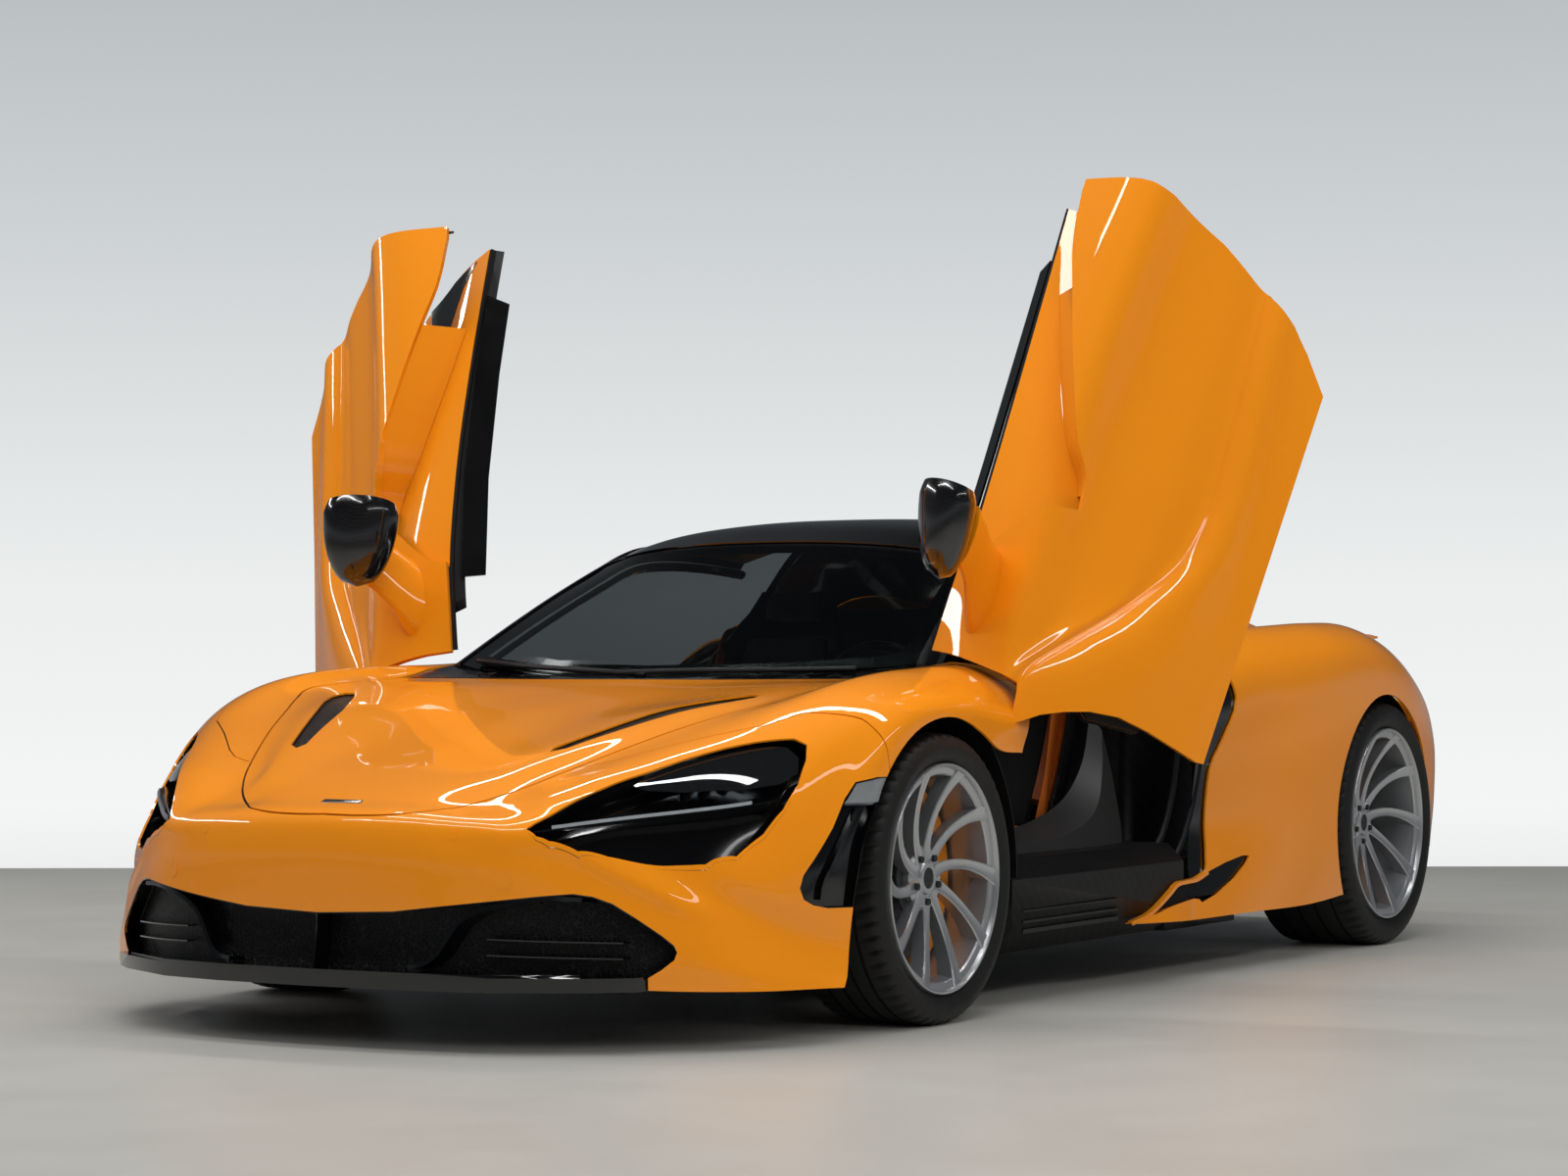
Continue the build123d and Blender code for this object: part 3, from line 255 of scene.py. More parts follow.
BONNET_VENT = [(345, -1866), (376, -1846), (447, -1700), (500, -1592), (560, -1485), (590, -1412),
               (584, -1376), (556, -1374), (512, -1432), (458, -1524), (426, -1589), (381, -1721),
               (338, -1838)]
SCREEN_FOOT = [(0, -995), (300, -975), (520, -905), (640, -820), (700, -770)]
FENDER = [(0, -1902), (451, -1902), (505, -1884), (548, -1850), (650, -1745), (752, -1648), (802, -1558),
          (851, -1515), (899, -1470), (1000, -1425), (1000, -600), (0, -600)]
HEADLAMP = [(478, -2146), (500, -2142), (524, -2130), (575, -2098), (622, -2057), (666, -2013),
            (725, -1954), (770, -1911), (813, -1856), (841, -1790), (857, -1736), (864, -1686),
            (859, -1644), (848, -1623), (823, -1634), (800, -1660), (765, -1703), (725, -1759),
            (676, -1837), (630, -1920), (580, -1995), (543, -2049), (506, -2104), (488, -2130)]
SIDE_VENT = [(-1400, 563), (-1493, 563), (-1555, 554), (-1590, 519), (-1633, 458), (-1678, 407),
             (-1719, 361), (-1730, 333), (-1720, 309), (-1695, 296), (-1656, 288), (-1400, 284)]
NOSE_INTAKE = [(-10, 283), (195, 291), (312, 305), (417, 317), (512, 328), (571, 333), (604, 327),
               (637, 312), (678, 280), (719, 245), (740, 224), (746, 210), (742, 194), (722, 174),
               (690, 150), (-10, 150)]
NOSE_END = -1750                # y behind which a sheet is body side, not nose
FRONT_AXLE = (-1185, 327)       # y, z
FRONT_ARCH = 362                # radius
CLAM_IN = (-0.50, 0.45, -0.74)  # inwards from the outer face


def flow(points, gaps, steps, twin=False):
    """Smooth curves through rows of points, each span between two rows cut into steps."""
    first = points[1] * (-1, 1, 1) if twin else 2 * points[0] - points[1]
    ends = numpy.concatenate([[first], points, [2 * points[-1] - points[-2]]])
    gaps = [gaps[0]] + list(gaps) + [gaps[-1]]
    slopes = []
    for k in range(len(points)):
        back, ahead = gaps[k], gaps[k + 1]
        slope = (ends[k + 1] - ends[k]) * (ahead / back) + (ends[k + 2] - ends[k + 1]) * (back / ahead)
        slopes.append(slope / (3 * (back + ahead)))
    out = []
    for k in range(len(points) - 1):
        a, d = points[k], points[k + 1]
        b, c = a + slopes[k] * gaps[k + 1], d - slopes[k + 1] * gaps[k + 1]
        for t in numpy.arange(steps) / steps:
            s = 1 - t
            out.append(a * s ** 3 + 3 * b * s * s * t + 3 * c * s * t * t + d * t ** 3)
    return numpy.array(out + [points[-1]])


def surface(table, across_steps, along_steps, symmetric=True, shift=(0, 0, 0)):
    """Bmesh of the smooth surface through a table of points in millimetres."""
    grid = numpy.array(table, float)
    across = numpy.linalg.norm(numpy.diff(grid, axis=1), axis=2).mean(0)
    along = numpy.linalg.norm(numpy.diff(grid, axis=0), axis=2).mean(1)
    fine = flow(grid.transpose(1, 0, 2), across, across_steps, symmetric).transpose(1, 0, 2)
    fine = (flow(fine, along, along_steps) + shift) / 1000
    bm = bmesh.new()
    bmesh.ops.create_grid(bm, x_segments=fine.shape[1] - 1, y_segments=fine.shape[0] - 1, size=1)
    for vert, place in zip(bm.verts, fine.reshape(-1, 3)):
        vert.co = place
    inner = [v for v in bm.verts if not v.is_boundary]
    for _ in range(4):
        bmesh.ops.smooth_vert(bm, verts=inner, factor=0.5, use_axis_x=True, use_axis_y=True, use_axis_z=True)
    return bm


def inside(a, b, outline):
    """True if a point lies in a closed outline."""
    odd = False
    for (pa, pb), (qa, qb) in zip(outline, outline[1:] + outline[:1]):
        if (pb > b) != (qb > b) and a < pa + (qa - pa) * (b - pb) / (qb - pb):
            odd = not odd
    return odd


def trim(bm, outline, axes="xy", keep=True, only=None):
    """Cuts a sheet along a closed outline in millimetres seen along one axis, and keeps one side.

    Only limits the cut to the faces whose middle passes a test."""
    i, j = "xyz".index(axes[0]), "xyz".index(axes[1])
    loop = [(a / 1000, b / 1000) for a, b in outline]
    reach = 0.045               # longer than any face of a sheet
    for (pa, pb), (qa, qb) in zip(loop, loop[1:] + loop[:1]):
        long = sqrt((qa - pa) ** 2 + (qb - pb) ** 2)
        if long < 1e-6:
            continue
        ta, tb = (qa - pa) / long, (qb - pb) / long
        near = []
        for face in bm.faces:
            c = face.verts[0].co
            da, db = c[i] - pa, c[j] - pb
            if abs(da * tb - db * ta) < reach and -reach < da * ta + db * tb < long + reach:
                if only is None or only(c):
                    near.append(face)
        normal = [0, 0, 0]
        normal[i], normal[j] = tb, -ta
        point = [0, 0, 0]
        point[i], point[j] = pa, pb
        parts = set(near) | {e for f in near for e in f.edges} | {v for f in near for v in f.verts}
        bmesh.ops.bisect_plane(bm, geom=list(parts), dist=1e-5, plane_co=point, plane_no=normal)
    doomed = []
    for face in bm.faces:
        c = face.calc_center_median()
        if only is None or only(c):
            if inside(c[i], c[j], loop) != keep:
                doomed.append(face)
    bmesh.ops.delete(bm, geom=doomed, context="FACES")


def ring(y, z, radius, parts=72):
    """Circle of points in millimetres."""
    turns = [2 * pi * k / parts for k in range(parts)]
    return [(y + radius * cos(turn), z + radius * sin(turn)) for turn in turns]


def whole(bm):
    """Everything in a bmesh."""
    return list(bm.verts) + list(bm.edges) + list(bm.faces)


def half_space(bm, axis, limit, above=True):
    """Cuts a sheet at one coordinate in millimetres and keeps the side above or below it."""
    k = "xyz".index(axis)
    point, normal = [0, 0, 0], [0, 0, 0]
    point[k], normal[k] = limit / 1000, -1 if above else 1
    bmesh.ops.bisect_plane(bm, geom=whole(bm), dist=1e-6, plane_co=point, plane_no=normal, clear_outer=True)


def panel(bm, name, material, thick_mm=4.0, up=(0, 0, 1)):
    """Turns a trimmed left-hand sheet into a closed skin, with its right-hand twin."""
    bmesh.ops.mirror(bm, geom=whole(bm), merge_dist=1e-5, axis="X")
    bmesh.ops.remove_doubles(bm, verts=bm.verts, dist=2e-5)
    bmesh.ops.recalc_face_normals(bm, faces=bm.faces)
    aim = Vector(up)
    if sum(f.normal.dot(aim) * f.calc_area() for f in bm.faces) < 0:
        bmesh.ops.reverse_faces(bm, faces=bm.faces)
    bmesh.ops.solidify(bm, geom=list(bm.faces), thickness=thick_mm / 1000)
    return show(bm, name, material)


def curve(points, steps=4, gaps=None):
    """Smooth open curve through a list of points, spaced as they lie or by given gaps."""
    line = numpy.array(points, float)
    if gaps is None:
        gaps = numpy.linalg.norm(numpy.diff(line, axis=0), axis=1)
    return [tuple(p) for p in flow(line, gaps, steps)]


def grown(points, gap):
    """Outline moved outwards, square to its own edge, by a gap."""
    out = []
    for k, (a, b) in enumerate(points):
        (pa, pb), (qa, qb) = points[k - 1], points[(k + 1) % len(points)]
        long = sqrt((qa - pa) ** 2 + (qb - pb) ** 2)
        out.append((a + (qb - pb) / long * gap, b - (qa - pa) / long * gap))
    return out


def on_side(c):
    """True on the upright side of the left-hand half."""
    return c.x > 0.7


def cut_arch(bm, extra=0):
    """Cuts the front wheel's opening out of the side of a sheet, larger by some millimetres."""
    trim(bm, ring(*FRONT_AXLE, FRONT_ARCH + extra), "yz", keep=False, only=lambda c: c.x > 0.6)


LID = curve(LID_EDGE)
LID = LID + [(-x, y) for x, y in reversed(LID) if x]


# Body paint: orange base coat with a fine metallic flake under thick clear lacquer,
# polished, so it shows sharp reflections over a deep even colour and faint orange peel.
paint = coating("orange_metallic_lacquer", 1.6, "F08A06", "F7950E", 2.0, bump=(9.0, 0.015, 1.0),
                Metallic=0.05, Roughness=0.5, Specular_IOR_Level=0.12, Coat_Weight=1.0,
                Coat_Roughness=0.015, Coat_IOR=1.5)

# Black seal and gutter material: moulded rubber with a soft sheen.
rubber_seal = coating("black_seal_rubber", 3.0, "0B0B0C", "131314", bump=(0.8, 0.05), Roughness=0.55,
                      Specular_IOR_Level=0.22)

# Gloss black moulding: injected plastic, lacquered, with light dust in its sheen.
gloss = coating("gloss_black_moulding", 4.0, "060607", "09090A", sheen=(60.0, 0.08, 0.16, 5.0),
                Roughness=0.12, Coat_Weight=0.6, Coat_Roughness=0.03)

# Satin black paint: baked on steel or over moulded plastic, with a fine orange peel.
satin_black = coating("satin_black_paint", 30.0, "0C0C0D", "121213", bump=(0.9, 0.03), Roughness=0.42,
                      Specular_IOR_Level=0.35)

# Woven mesh behind the openings: coarse satin black wire, so its bump is a grid.
mesh_black, tree, shader = finish("black_wire_mesh_shaded_gaps", Roughness=0.42, Specular_IOR_Level=0.25)
cells = add(tree, "TexVoronoi", {"Vector": own_place(tree), "Scale": 1000 / 9.0}, feature="DISTANCE_TO_EDGE")
wire = add(tree, "MapRange", {0: cells.outputs["Distance"], 1: 0.06, 2: 0.14, 3: 1.0, 4: 0.0}).outputs[0]
# The mesh is one solid sheet. Its gaps between the wires are painted near black, as painted shade of the
# dark space behind the openings.
mottle(tree, shader, wire, linear("020202"), linear("1A1A1B"))
relief(tree, shader, wire, 1.2)


def clam(inwards=0.0):
    """Sheet of the whole front body, some millimetres inside its outer face."""
    return surface(CLAM, 12, 10, shift=tuple(inwards * share for share in CLAM_IN))


bm = clam()
trim(bm, LID)
trim(bm, BONNET_VENT, keep=False)
bonnet = panel(bm, "bonnet_skin", paint)
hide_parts("bonnet")
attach(bonnet, "bonnet")

bm = clam(9.0)
trim(bm, grown(BONNET_VENT, 14))
vent_mesh = panel(bm, "bonnet_vent_mesh", mesh_black, 1.5)
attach(vent_mesh, "bonnet")

bm = clam()
trim(bm, FENDER)
trim(bm, grown(LID, 5), keep=False)
trim(bm, [(0, -1090), (655, -1090), (706, -860), (706, -600), (0, -600)], keep=False)
trim(bm, [(-1425, 0), (-500, 0), (-500, 505), (-1425, 505)], "yz", keep=False, only=on_side)
cut_arch(bm)
fenders = panel(bm, "fender_skins", paint, 6.0)
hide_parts("front_fenders")
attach(fenders, "car_body")

bm = clam()
trim(bm, grown(FENDER, 3), keep=False)
trim(bm, grown(LID, 5), keep=False)
half_space(bm, "y", FRONT_AXLE[0], above=False)
cut_arch(bm)
trim(bm, HEADLAMP, keep=False)
trim(bm, SIDE_VENT, "yz", keep=False, only=on_side)
trim(bm, NOSE_INTAKE, "xz", keep=False, only=lambda c: c.y < -1.75)
trim(bm, [(-10, 0), (700, 0), (700, 160.4), (-10, 160.4)], "xz", keep=False, only=lambda c: c.y < -1.0)
bumper = panel(bm, "bumper_skin", paint, 5.0, up=(0.3, -1, 0.3))
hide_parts("front_bumper")
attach(bumper, "car_body")

# Gutter under the shut lines: a black strip that follows the lid's edge and the joint
# between fender and bumper a few millimetres down.
bm = clam(7.0)
trim(bm, grown(LID, 26))
trim(bm, grown(LID, -16), keep=False)
half_space(bm, "z", 440)
trim(bm, HEADLAMP, keep=False)
gutter = panel(bm, "lid_gutter", rubber_seal, 1.5)
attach(gutter, "car_body")

bm = clam(7.0)
trim(bm, grown(FENDER, 14))
trim(bm, grown(FENDER, -10), keep=False)
trim(bm, grown(LID, 8), keep=False)
cut_arch(bm, 2)
half_space(bm, "y", -1425, above=False)
trim(bm, HEADLAMP, keep=False)
joint = panel(bm, "fender_joint", rubber_seal, 1.5)
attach(joint, "car_body")

# Scuttle under the screen: a gloss black moulding that hides the cowl and the lid's hinges.
bm = clam()
trim(bm, [(0, -1022), (642, -1022), (688, -860), (698, -770)] + SCREEN_FOOT[-2::-1])
cowl = panel(bm, "scuttle_cover", gloss, 2.0)
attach(cowl, "car_body")


# ---- Nose intake and splitter ---------------------------------------------------
# The wide mouth is a gloss black moulding clipped behind the bumper: an inward rim, a
# curved vane on each side that parts the outer pods, and wire mesh over the radiators.
# A flat moulded splitter blade closes it below.


def rim(bm, way, depth_mm):
    """Turns a trimmed sheet into the wall that runs inwards from its outer edge."""
    edges = [e for e in bm.edges if e.is_boundary and max(abs(v.co.x) for v in e.verts) > 1e-4]
    made = bmesh.ops.extrude_edge_only(bm, edges=edges)["geom"]
    verts = [v for v in made if isinstance(v, bmesh.types.BMVert)]
    bmesh.ops.translate(bm, verts=verts, vec=Vector(way).normalized() * depth_mm / 1000)
    walls = {f for f in made if isinstance(f, bmesh.types.BMFace)}
    bmesh.ops.delete(bm, geom=[f for f in bm.faces if f not in walls], context="FACES")


def strip(bm, path, across, thick_mm):
    """Blade through a list of points, as wide as one vector and so thick."""
    rows = [[bm.verts.new(Vector(p) / 1000), bm.verts.new((Vector(p) + Vector(across)) / 1000)]
            for p in path]
    faces = [bm.faces.new((a, b, d, c)) for (a, b), (c, d) in zip(rows, rows[1:])]
    bmesh.ops.recalc_face_normals(bm, faces=faces)
    bmesh.ops.solidify(bm, geom=faces, thickness=thick_mm / 1000)


def twins(bm, name, material):
    """Left-hand closed pieces and their right-hand twins as one object."""
    copy = bmesh.ops.duplicate(bm, geom=whole(bm))["geom"]
    verts = [v for v in copy if isinstance(v, bmesh.types.BMVert)]
    bmesh.ops.scale(bm, verts=verts, vec=(-1, 1, 1))
    bmesh.ops.reverse_faces(bm, faces=[f for f in copy if isinstance(f, bmesh.types.BMFace)])
    return show(bm, name, material)


def from_cad(name, material, body):
    """Smooth shaded copy of a CAD node in its place."""
    bm = bmesh.new()
    bm.from_mesh(nodes[name].data)
    bm.transform(nodes[name].matrix_world)
    bmesh.ops.remove_doubles(bm, verts=bm.verts, dist=2e-5)
    piece = show(bm, name + "_form", material)
    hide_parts(name)
    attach(piece, body)


clam_tree = BVHTree.FromBMesh(clam())


def on_clam(x, z, inwards):
    """Point behind the front surface straight behind a front-view place, in millimetres."""
    hit = clam_tree.ray_cast(Vector((x / 1000, -3, z / 1000)), Vector((0, 1, 0)))[0]
    return (x, hit.y * 1000 + inwards, z)


bm = clam(0.5)
half_space(bm, "y", NOSE_END, above=False)
trim(bm, NOSE_INTAKE, "xz")
rim(bm, (0, 1, 0), 60)
mouth = panel(bm, "mouth_rim", gloss, 2.5)
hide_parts("front_intakes")
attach(mouth, "car_body")

bm = clam()
half_space(bm, "y", NOSE_END, above=False)
bmesh.ops.translate(bm, verts=bm.verts, vec=(0, 0.052, 0))
trim(bm, grown(NOSE_INTAKE, 4), "xz")
grille = panel(bm, "radiator_mesh", mesh_black, 2.0)
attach(grille, "car_body")

VANE = [(238, 172), (270, 178), (300, 196), (326, 232), (352, 268), (392, 292), (450, 308), (520, 318),
         (585, 316)]
bm = bmesh.new()
strip(bm, [on_clam(x, z, 3) for x, z in curve(VANE, 5)], (4, 52, -4), 9.0)
for fin, tail in ((238, 30), (205, 44)):
    path = [(x, fin - (x - 400) * 0.03) for x in range(400, 700 - tail, 25)]
    strip(bm, [on_clam(x, z, 22) for x, z in path], (0, 30, 0), 3.0)
vanes = twins(bm, "mouth_vanes", gloss)
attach(vanes, "car_body")

from_cad("front_splitter", gloss, "car_body")

# Sensors, towing-eye cover and blank badge: small painted or chromed discs let into the skin.
chrome = coating("satin_chrome", 12.0, "B9BCBF", "CFD2D4", Metallic=1.0, Roughness=0.22)
bm = bmesh.new()
for x, z, radius in ((330, 451, 9), (741, 356, 9), (440, 362, 21)):
    place = Vector(on_clam(x, z, 0)) / 1000
    hit, normal = clam_tree.find_nearest(place)[:2]
    if normal.y > 0:
        normal = -normal
    turn = normal.to_track_quat("Z", "X").to_matrix().to_4x4()
    bmesh.ops.create_circle(bm, cap_ends=True, segments=32, radius=radius / 1000,
                            matrix=Matrix.Translation(hit + normal * 0.0006) @ turn)
bmesh.ops.solidify(bm, geom=list(bm.faces), thickness=0.004)
caps = twins(bm, "sensor_caps", paint)
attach(caps, "car_body")

bm = bmesh.new()
hit, normal = clam_tree.find_nearest(Vector((0.0, -2.146, 0.512)))[:2]
turn = (normal if normal.y < 0 else -normal).to_track_quat("Z", "Y").to_matrix().to_4x4()
place = Matrix.Translation(hit) @ turn @ Matrix.Diagonal((0.104, 0.016, 0.006, 1))
bmesh.ops.create_cube(bm, size=1, matrix=place)
bmesh.ops.bevel(bm, geom=list(bm.edges), offset=0.002, segments=2, profile=0.5, affect="EDGES", material=-1)
badge = show(bm, "blank_badge", chrome)
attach(badge, "bonnet")


# ---- Headlamps --------------------------------------------------------------------
# Each lamp is a deep black socket that is also an air duct. A slim light blade crosses
# it, with lamp modules above under a smoked polycarbonate cover.
LENS = [(622, -1953), (634, -1907), (674, -1835), (727, -1762), (781, -1689), (818, -1652), (846, -1648),
        (856, -1668), (840, -1716), (792, -1792), (707, -1887), (645, -1944)]
LIGHT_BLADE = [(492, -2137, 469), (540, -2098, 476), (576, -2063, 482), (648, -1986, 493),
               (720, -1907, 503), (790, -1825, 514), (846, -1740, 527)]

smoked = coating("smoked_polycarbonate", 80.0, "4A4D50", "565A5D", Roughness=0.03, Transmission_Weight=0.9,
                 IOR=1.45, Coat_Weight=1.0, Coat_Roughness=0.01)


def moved(outline, i, j):
    """Outline moved by two distances."""
    return [(a + i, b + j) for a, b in outline]


bm = clam(1.0)
trim(bm, grown(HEADLAMP, 1))
rim(bm, CLAM_IN, 66)
socket = panel(bm, "lamp_socket_walls", gloss, 2.0)
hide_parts("headlamps")
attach(socket, "car_body")

bm = clam(64.0)
trim(bm, moved(grown(HEADLAMP, 4), -32, 29))
half_space(bm, "z", 260)
well = panel(bm, "lamp_socket_floor", gloss, 2.0)
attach(well, "car_body")

bm = bmesh.new()
line = curve(LIGHT_BLADE, 5)
strip(bm, [Vector(p) + Vector(CLAM_IN) * 9 for p in line], 44 * Vector((-0.40, 0.62, -0.10)), 5.0)
blade = twins(bm, "lamp_blades", gloss)
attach(blade, "car_body")

# Light guide: a clear acrylic strip along the blade's front edge, frosted inside.
guide = coating("frosted_light_guide", 20.0, "8E9499", "A7ADB2", Roughness=0.16, Coat_Weight=1.0)
bm = bmesh.new()
strip(bm, [Vector(p) + Vector(CLAM_IN) * 7 + Vector((0, 0, 5)) for p in line[3:-3]], (0, 0, -7), 5.0)
strip(bm, [Vector(p) + Vector(CLAM_IN) * 30 + Vector((0, 0, 16)) for p in line[8:-6]], (0, 0, -3), 3.0)
guides = twins(bm, "lamp_guides", guide)
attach(guides, "car_body")

bm = bmesh.new()
aim = Vector((0.35, -0.92, 0.12)).to_track_quat("Z", "Y").to_matrix().to_4x4()
for k in range(6):
    mid = Vector((690 + 27 * k, -1838 + 33 * k, 572 + 5 * k)) + Vector(CLAM_IN) * 26
    bmesh.ops.create_cone(bm, cap_ends=True, segments=20, radius1=0.011, radius2=0.014, depth=0.03,
                          matrix=Matrix.Translation(mid / 1000) @ aim)
modules = twins(bm, "lamp_modules", chrome)
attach(modules, "car_body")

bm = clam(14.0)
trim(bm, moved(LENS, -7, 6))
cover = panel(bm, "lamp_covers", smoked, 2.0)
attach(cover, "car_body")


# ---- Side vents and side lamps -----------------------------------------------------
# Gloss black outlets behind the headlamps let air out of the wheel arch. A clear
# side lamp closes the top of each.
SIDE_FROM = 700                 # x beyond which a sheet is body side
bm = clam(0.5)
half_space(bm, "x", SIDE_FROM)
trim(bm, SIDE_VENT, "yz")
cut_arch(bm)
rim(bm, (-0.85, 0.35, -0.1), 30)
vent_rim = panel(bm, "side_vent_rims", gloss, 2.0)
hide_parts("side_vents")
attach(vent_rim, "car_body")

bm = clam(26.0)
half_space(bm, "x", 680)
trim(bm, moved(grown(SIDE_VENT, 3), 12, -18), "yz")
half_space(bm, "y", -1470, above=False)
cut_arch(bm)
vent_floor = panel(bm, "side_vent_floors", gloss, 2.0)
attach(vent_floor, "car_body")


def from_side(y, z, inwards):
    """Point on the front body straight in from the side, in millimetres."""
    hit = clam_tree.ray_cast(Vector((2, y / 1000, z / 1000)), Vector((-1, 0, 0)))[0]
    return (hit.x * 1000 - inwards, y, z)


bm = bmesh.new()
fin = curve([(-1560, 498), (-1602, 440), (-1640, 385), (-1668, 335), (-1672, 306)], 5)
strip(bm, [from_side(y, z, 4) for y, z in fin], (-26, 10, 0), 7.0)
fins = twins(bm, "side_vent_fins", gloss)
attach(fins, "car_body")

# Side lamp: clear moulded lens over a silvered reflector.
clear_lens = coating("clear_moulded_lens", 30.0, "D3D6D8", "E2E4E6", Roughness=0.05,
                     Transmission_Weight=0.75, Coat_Weight=1.0)
SIDE_LAMP = [(-1400, 565), (-1493, 561), (-1553, 552), (-1586, 517), (-1594, 508), (-1400, 508)]
bm = clam()
half_space(bm, "x", SIDE_FROM)
trim(bm, grown(SIDE_LAMP, -1.5), "yz")
cut_arch(bm, 1)
side_lens = panel(bm, "side_lamp_lenses", clear_lens, 2.0)
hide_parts("side_lamps")
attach(side_lens, "car_body")

bm = clam(9.0)
half_space(bm, "x", SIDE_FROM)
trim(bm, moved(grown(SIDE_LAMP, -2), 4, -6), "yz")
cut_arch(bm, 1)
reflector = panel(bm, "side_lamp_reflectors", chrome, 1.0)
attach(reflector, "car_body")


# ---- Doors ---------------------------------------------------------------------
# Dihedral doors: an orange outer blade over an inner skin with an air channel between
# them, hinged low on the screen pillar so that they swing forward and up. Inside they
# are trimmed in black; a carbon mirror stands on an orange foot.


def stations(rows):
    """Table of points from rows of (x, z) points at each y."""
    return [[(x, y, z) for x, z in row] for y, row in rows.items()]


DOOR = stations({
    -880: [(728, 845), (858, 775), (914, 720), (940, 690), (944, 672), (945, 656), (950, 646), (946, 258),
           (930, 160)],
    -700: [(757, 850), (865, 772), (915, 716), (930, 690), (936, 672), (938, 652), (946, 642), (945, 240),
           (934, 165)],
    -580: [(766, 853), (869, 770), (916, 712), (916, 630), (926, 588), (928, 560), (938, 550), (946, 232),
           (938, 165)],
    -460: [(774, 855), (873, 769), (917, 710), (907, 600), (921, 492), (924, 462), (934, 452), (948, 228),
           (942, 165)],
    -330: [(779, 857), (878, 768), (918, 710), (901, 600), (919, 460), (925, 386), (936, 376), (950, 226),
           (946, 165)],
    -200: [(781, 858), (882, 768), (919, 712), (899, 600), (919, 458), (927, 362), (938, 352), (951, 226),
           (951, 165)],
    0: [(785, 860), (888, 768), (921, 713), (896, 600), (919, 458), (930, 368), (941, 358), (953, 230),
        (961, 165)],
    200: [(784, 862), (893, 768), (926, 712), (900, 600), (924, 458), (935, 382), (946, 372), (955, 240),
          (970, 165)],
    380: [(782, 862), (898, 768), (931, 708), (909, 600), (932, 460), (939, 392), (949, 382), (956, 250),
          (973, 165)],
    560: [(775, 861), (902, 766), (936, 704), (925, 600), (943, 464), (946, 400), (953, 390), (958, 255),
          (976, 165)],
})
CARD = stations({
    -760: [(705, 850), (830, 770), (905, 600), (908, 350)],
    -500: [(742, 852), (838, 770), (886, 600), (900, 350)],
    -200: [(735, 858), (800, 780), (838, 600), (880, 350)],
    100: [(705, 864), (745, 790), (780, 600), (840, 350)],
    350: [(672, 868), (700, 790), (730, 600), (800, 350)],
    500: [(650, 870), (672, 790), (700, 600), (760, 350)],
})
DOOR_OUTLINE = [(-823, 650), (-741, 657), (-721, 662), (-706, 739), (-691, 813), (-680, 1000),
                (500, 1000), (522, 849), (529, 753), (527, 725), (511, 665), (442, 515), (365, 394),
                (303, 300), (252, 250), (166, 185), (-755, 183), (-757, 203), (-746, 257), (-730, 336),
                (-722, 412), (-733, 482), (-753, 537), (-778, 589), (-800, 618)]
CARD_OUTLINE = [(-655, 600), (-640, 700), (-560, 838), (470, 862), (450, 700), (400, 540), (300, 430),
                (180, 352), (-735, 352), (-745, 480)]
DOOR_AXIS = Vector((0.7533, -0.4339, -0.4943))
DOOR_PIVOT = Vector((0.9978, -0.8813, 0.6000))
DOOR_SWING = radians(83)


def hang(bm, hand):
    """Swings a shut left-hand door piece to its open place, or its twin on the right."""
    turn = Matrix.Rotation(DOOR_SWING, 3, DOOR_AXIS)
    bmesh.ops.rotate(bm, verts=bm.verts, cent=DOOR_PIVOT, matrix=turn)
    if hand == "right":
        bmesh.ops.scale(bm, verts=bm.verts, vec=(-1, 1, 1))
        bmesh.ops.reverse_faces(bm, faces=bm.faces)


def door_sheet(bm, hand, name, material, thick_mm):
    """Turns a trimmed sheet of the shut left-hand door into a closed skin on an open door."""
    bmesh.ops.recalc_face_normals(bm, faces=bm.faces)
    if sum(f.normal.x for f in bm.faces) < 0:
        bmesh.ops.reverse_faces(bm, faces=bm.faces)
    bmesh.ops.solidify(bm, geom=list(bm.faces), thickness=thick_mm / 1000)
    hang(bm, hand)
    return show(bm, f"door_{hand}_{name}", material)


door_black = coating("door_trim_black", 2.0, "0D0D0E", "151516", 5.0, bump=(1.0, 0.1), Roughness=0.6,
                     Specular_IOR_Level=0.3)
mirror_glass = coating("silvered_glass", 50.0, "B9BFC4", "C2C8CC", Metallic=1.0, Roughness=0.03)
mirror_carbon, tree, shader = finish("lacquered_carbon_shell", Roughness=0.18, Coat_Weight=1.0,
                                     Coat_Roughness=0.02)
weave = add(tree, "TexChecker", {"Vector": own_place(tree), "Scale": 1000 / 5.0}).outputs[1]
mottle(tree, shader, weave, linear("060607"), linear("171719"))


def web(bm, first, second, thick):
    """Sheet of some thickness between two lines of points in millimetres."""
    one, two = [[bm.verts.new(Vector(p) / 1000) for p in line] for line in (first, second)]
    made = [bm.faces.new((one[k], one[k + 1], two[k + 1], two[k])) for k in range(len(one) - 1)]
    bmesh.ops.recalc_face_normals(bm, faces=made)
    bmesh.ops.solidify(bm, geom=made, thickness=thick / 1000)


def loft(bm, rows, closed=False):
    """Skin round rings of points in millimetres. It joins up if closed, or else has two caps.

    Returns the last face, which is the last cap if there is one."""
    rings = [[bm.verts.new(Vector(p) / 1000) for p in row] for row in rows]
    made = [bm.faces.new((one[j - 1], one[j], two[j], two[j - 1]))
            for one, two in zip(rings, rings[1:] + rings[:1] * closed) for j in range(len(one))]
    if not closed:
        made += [bm.faces.new(rings[0]), bm.faces.new(rings[-1])]
    bmesh.ops.recalc_face_normals(bm, faces=made)
    return made[-1]


# The blade's free edge over the channel runs down from the belt at the rear to the waist.
BLADE_EDGE = curve([(-280, 640), (-200, 654), (-130, 700), (-20, 742), (100, 781), (244, 820), (348, 846),
                    (505, 863)])

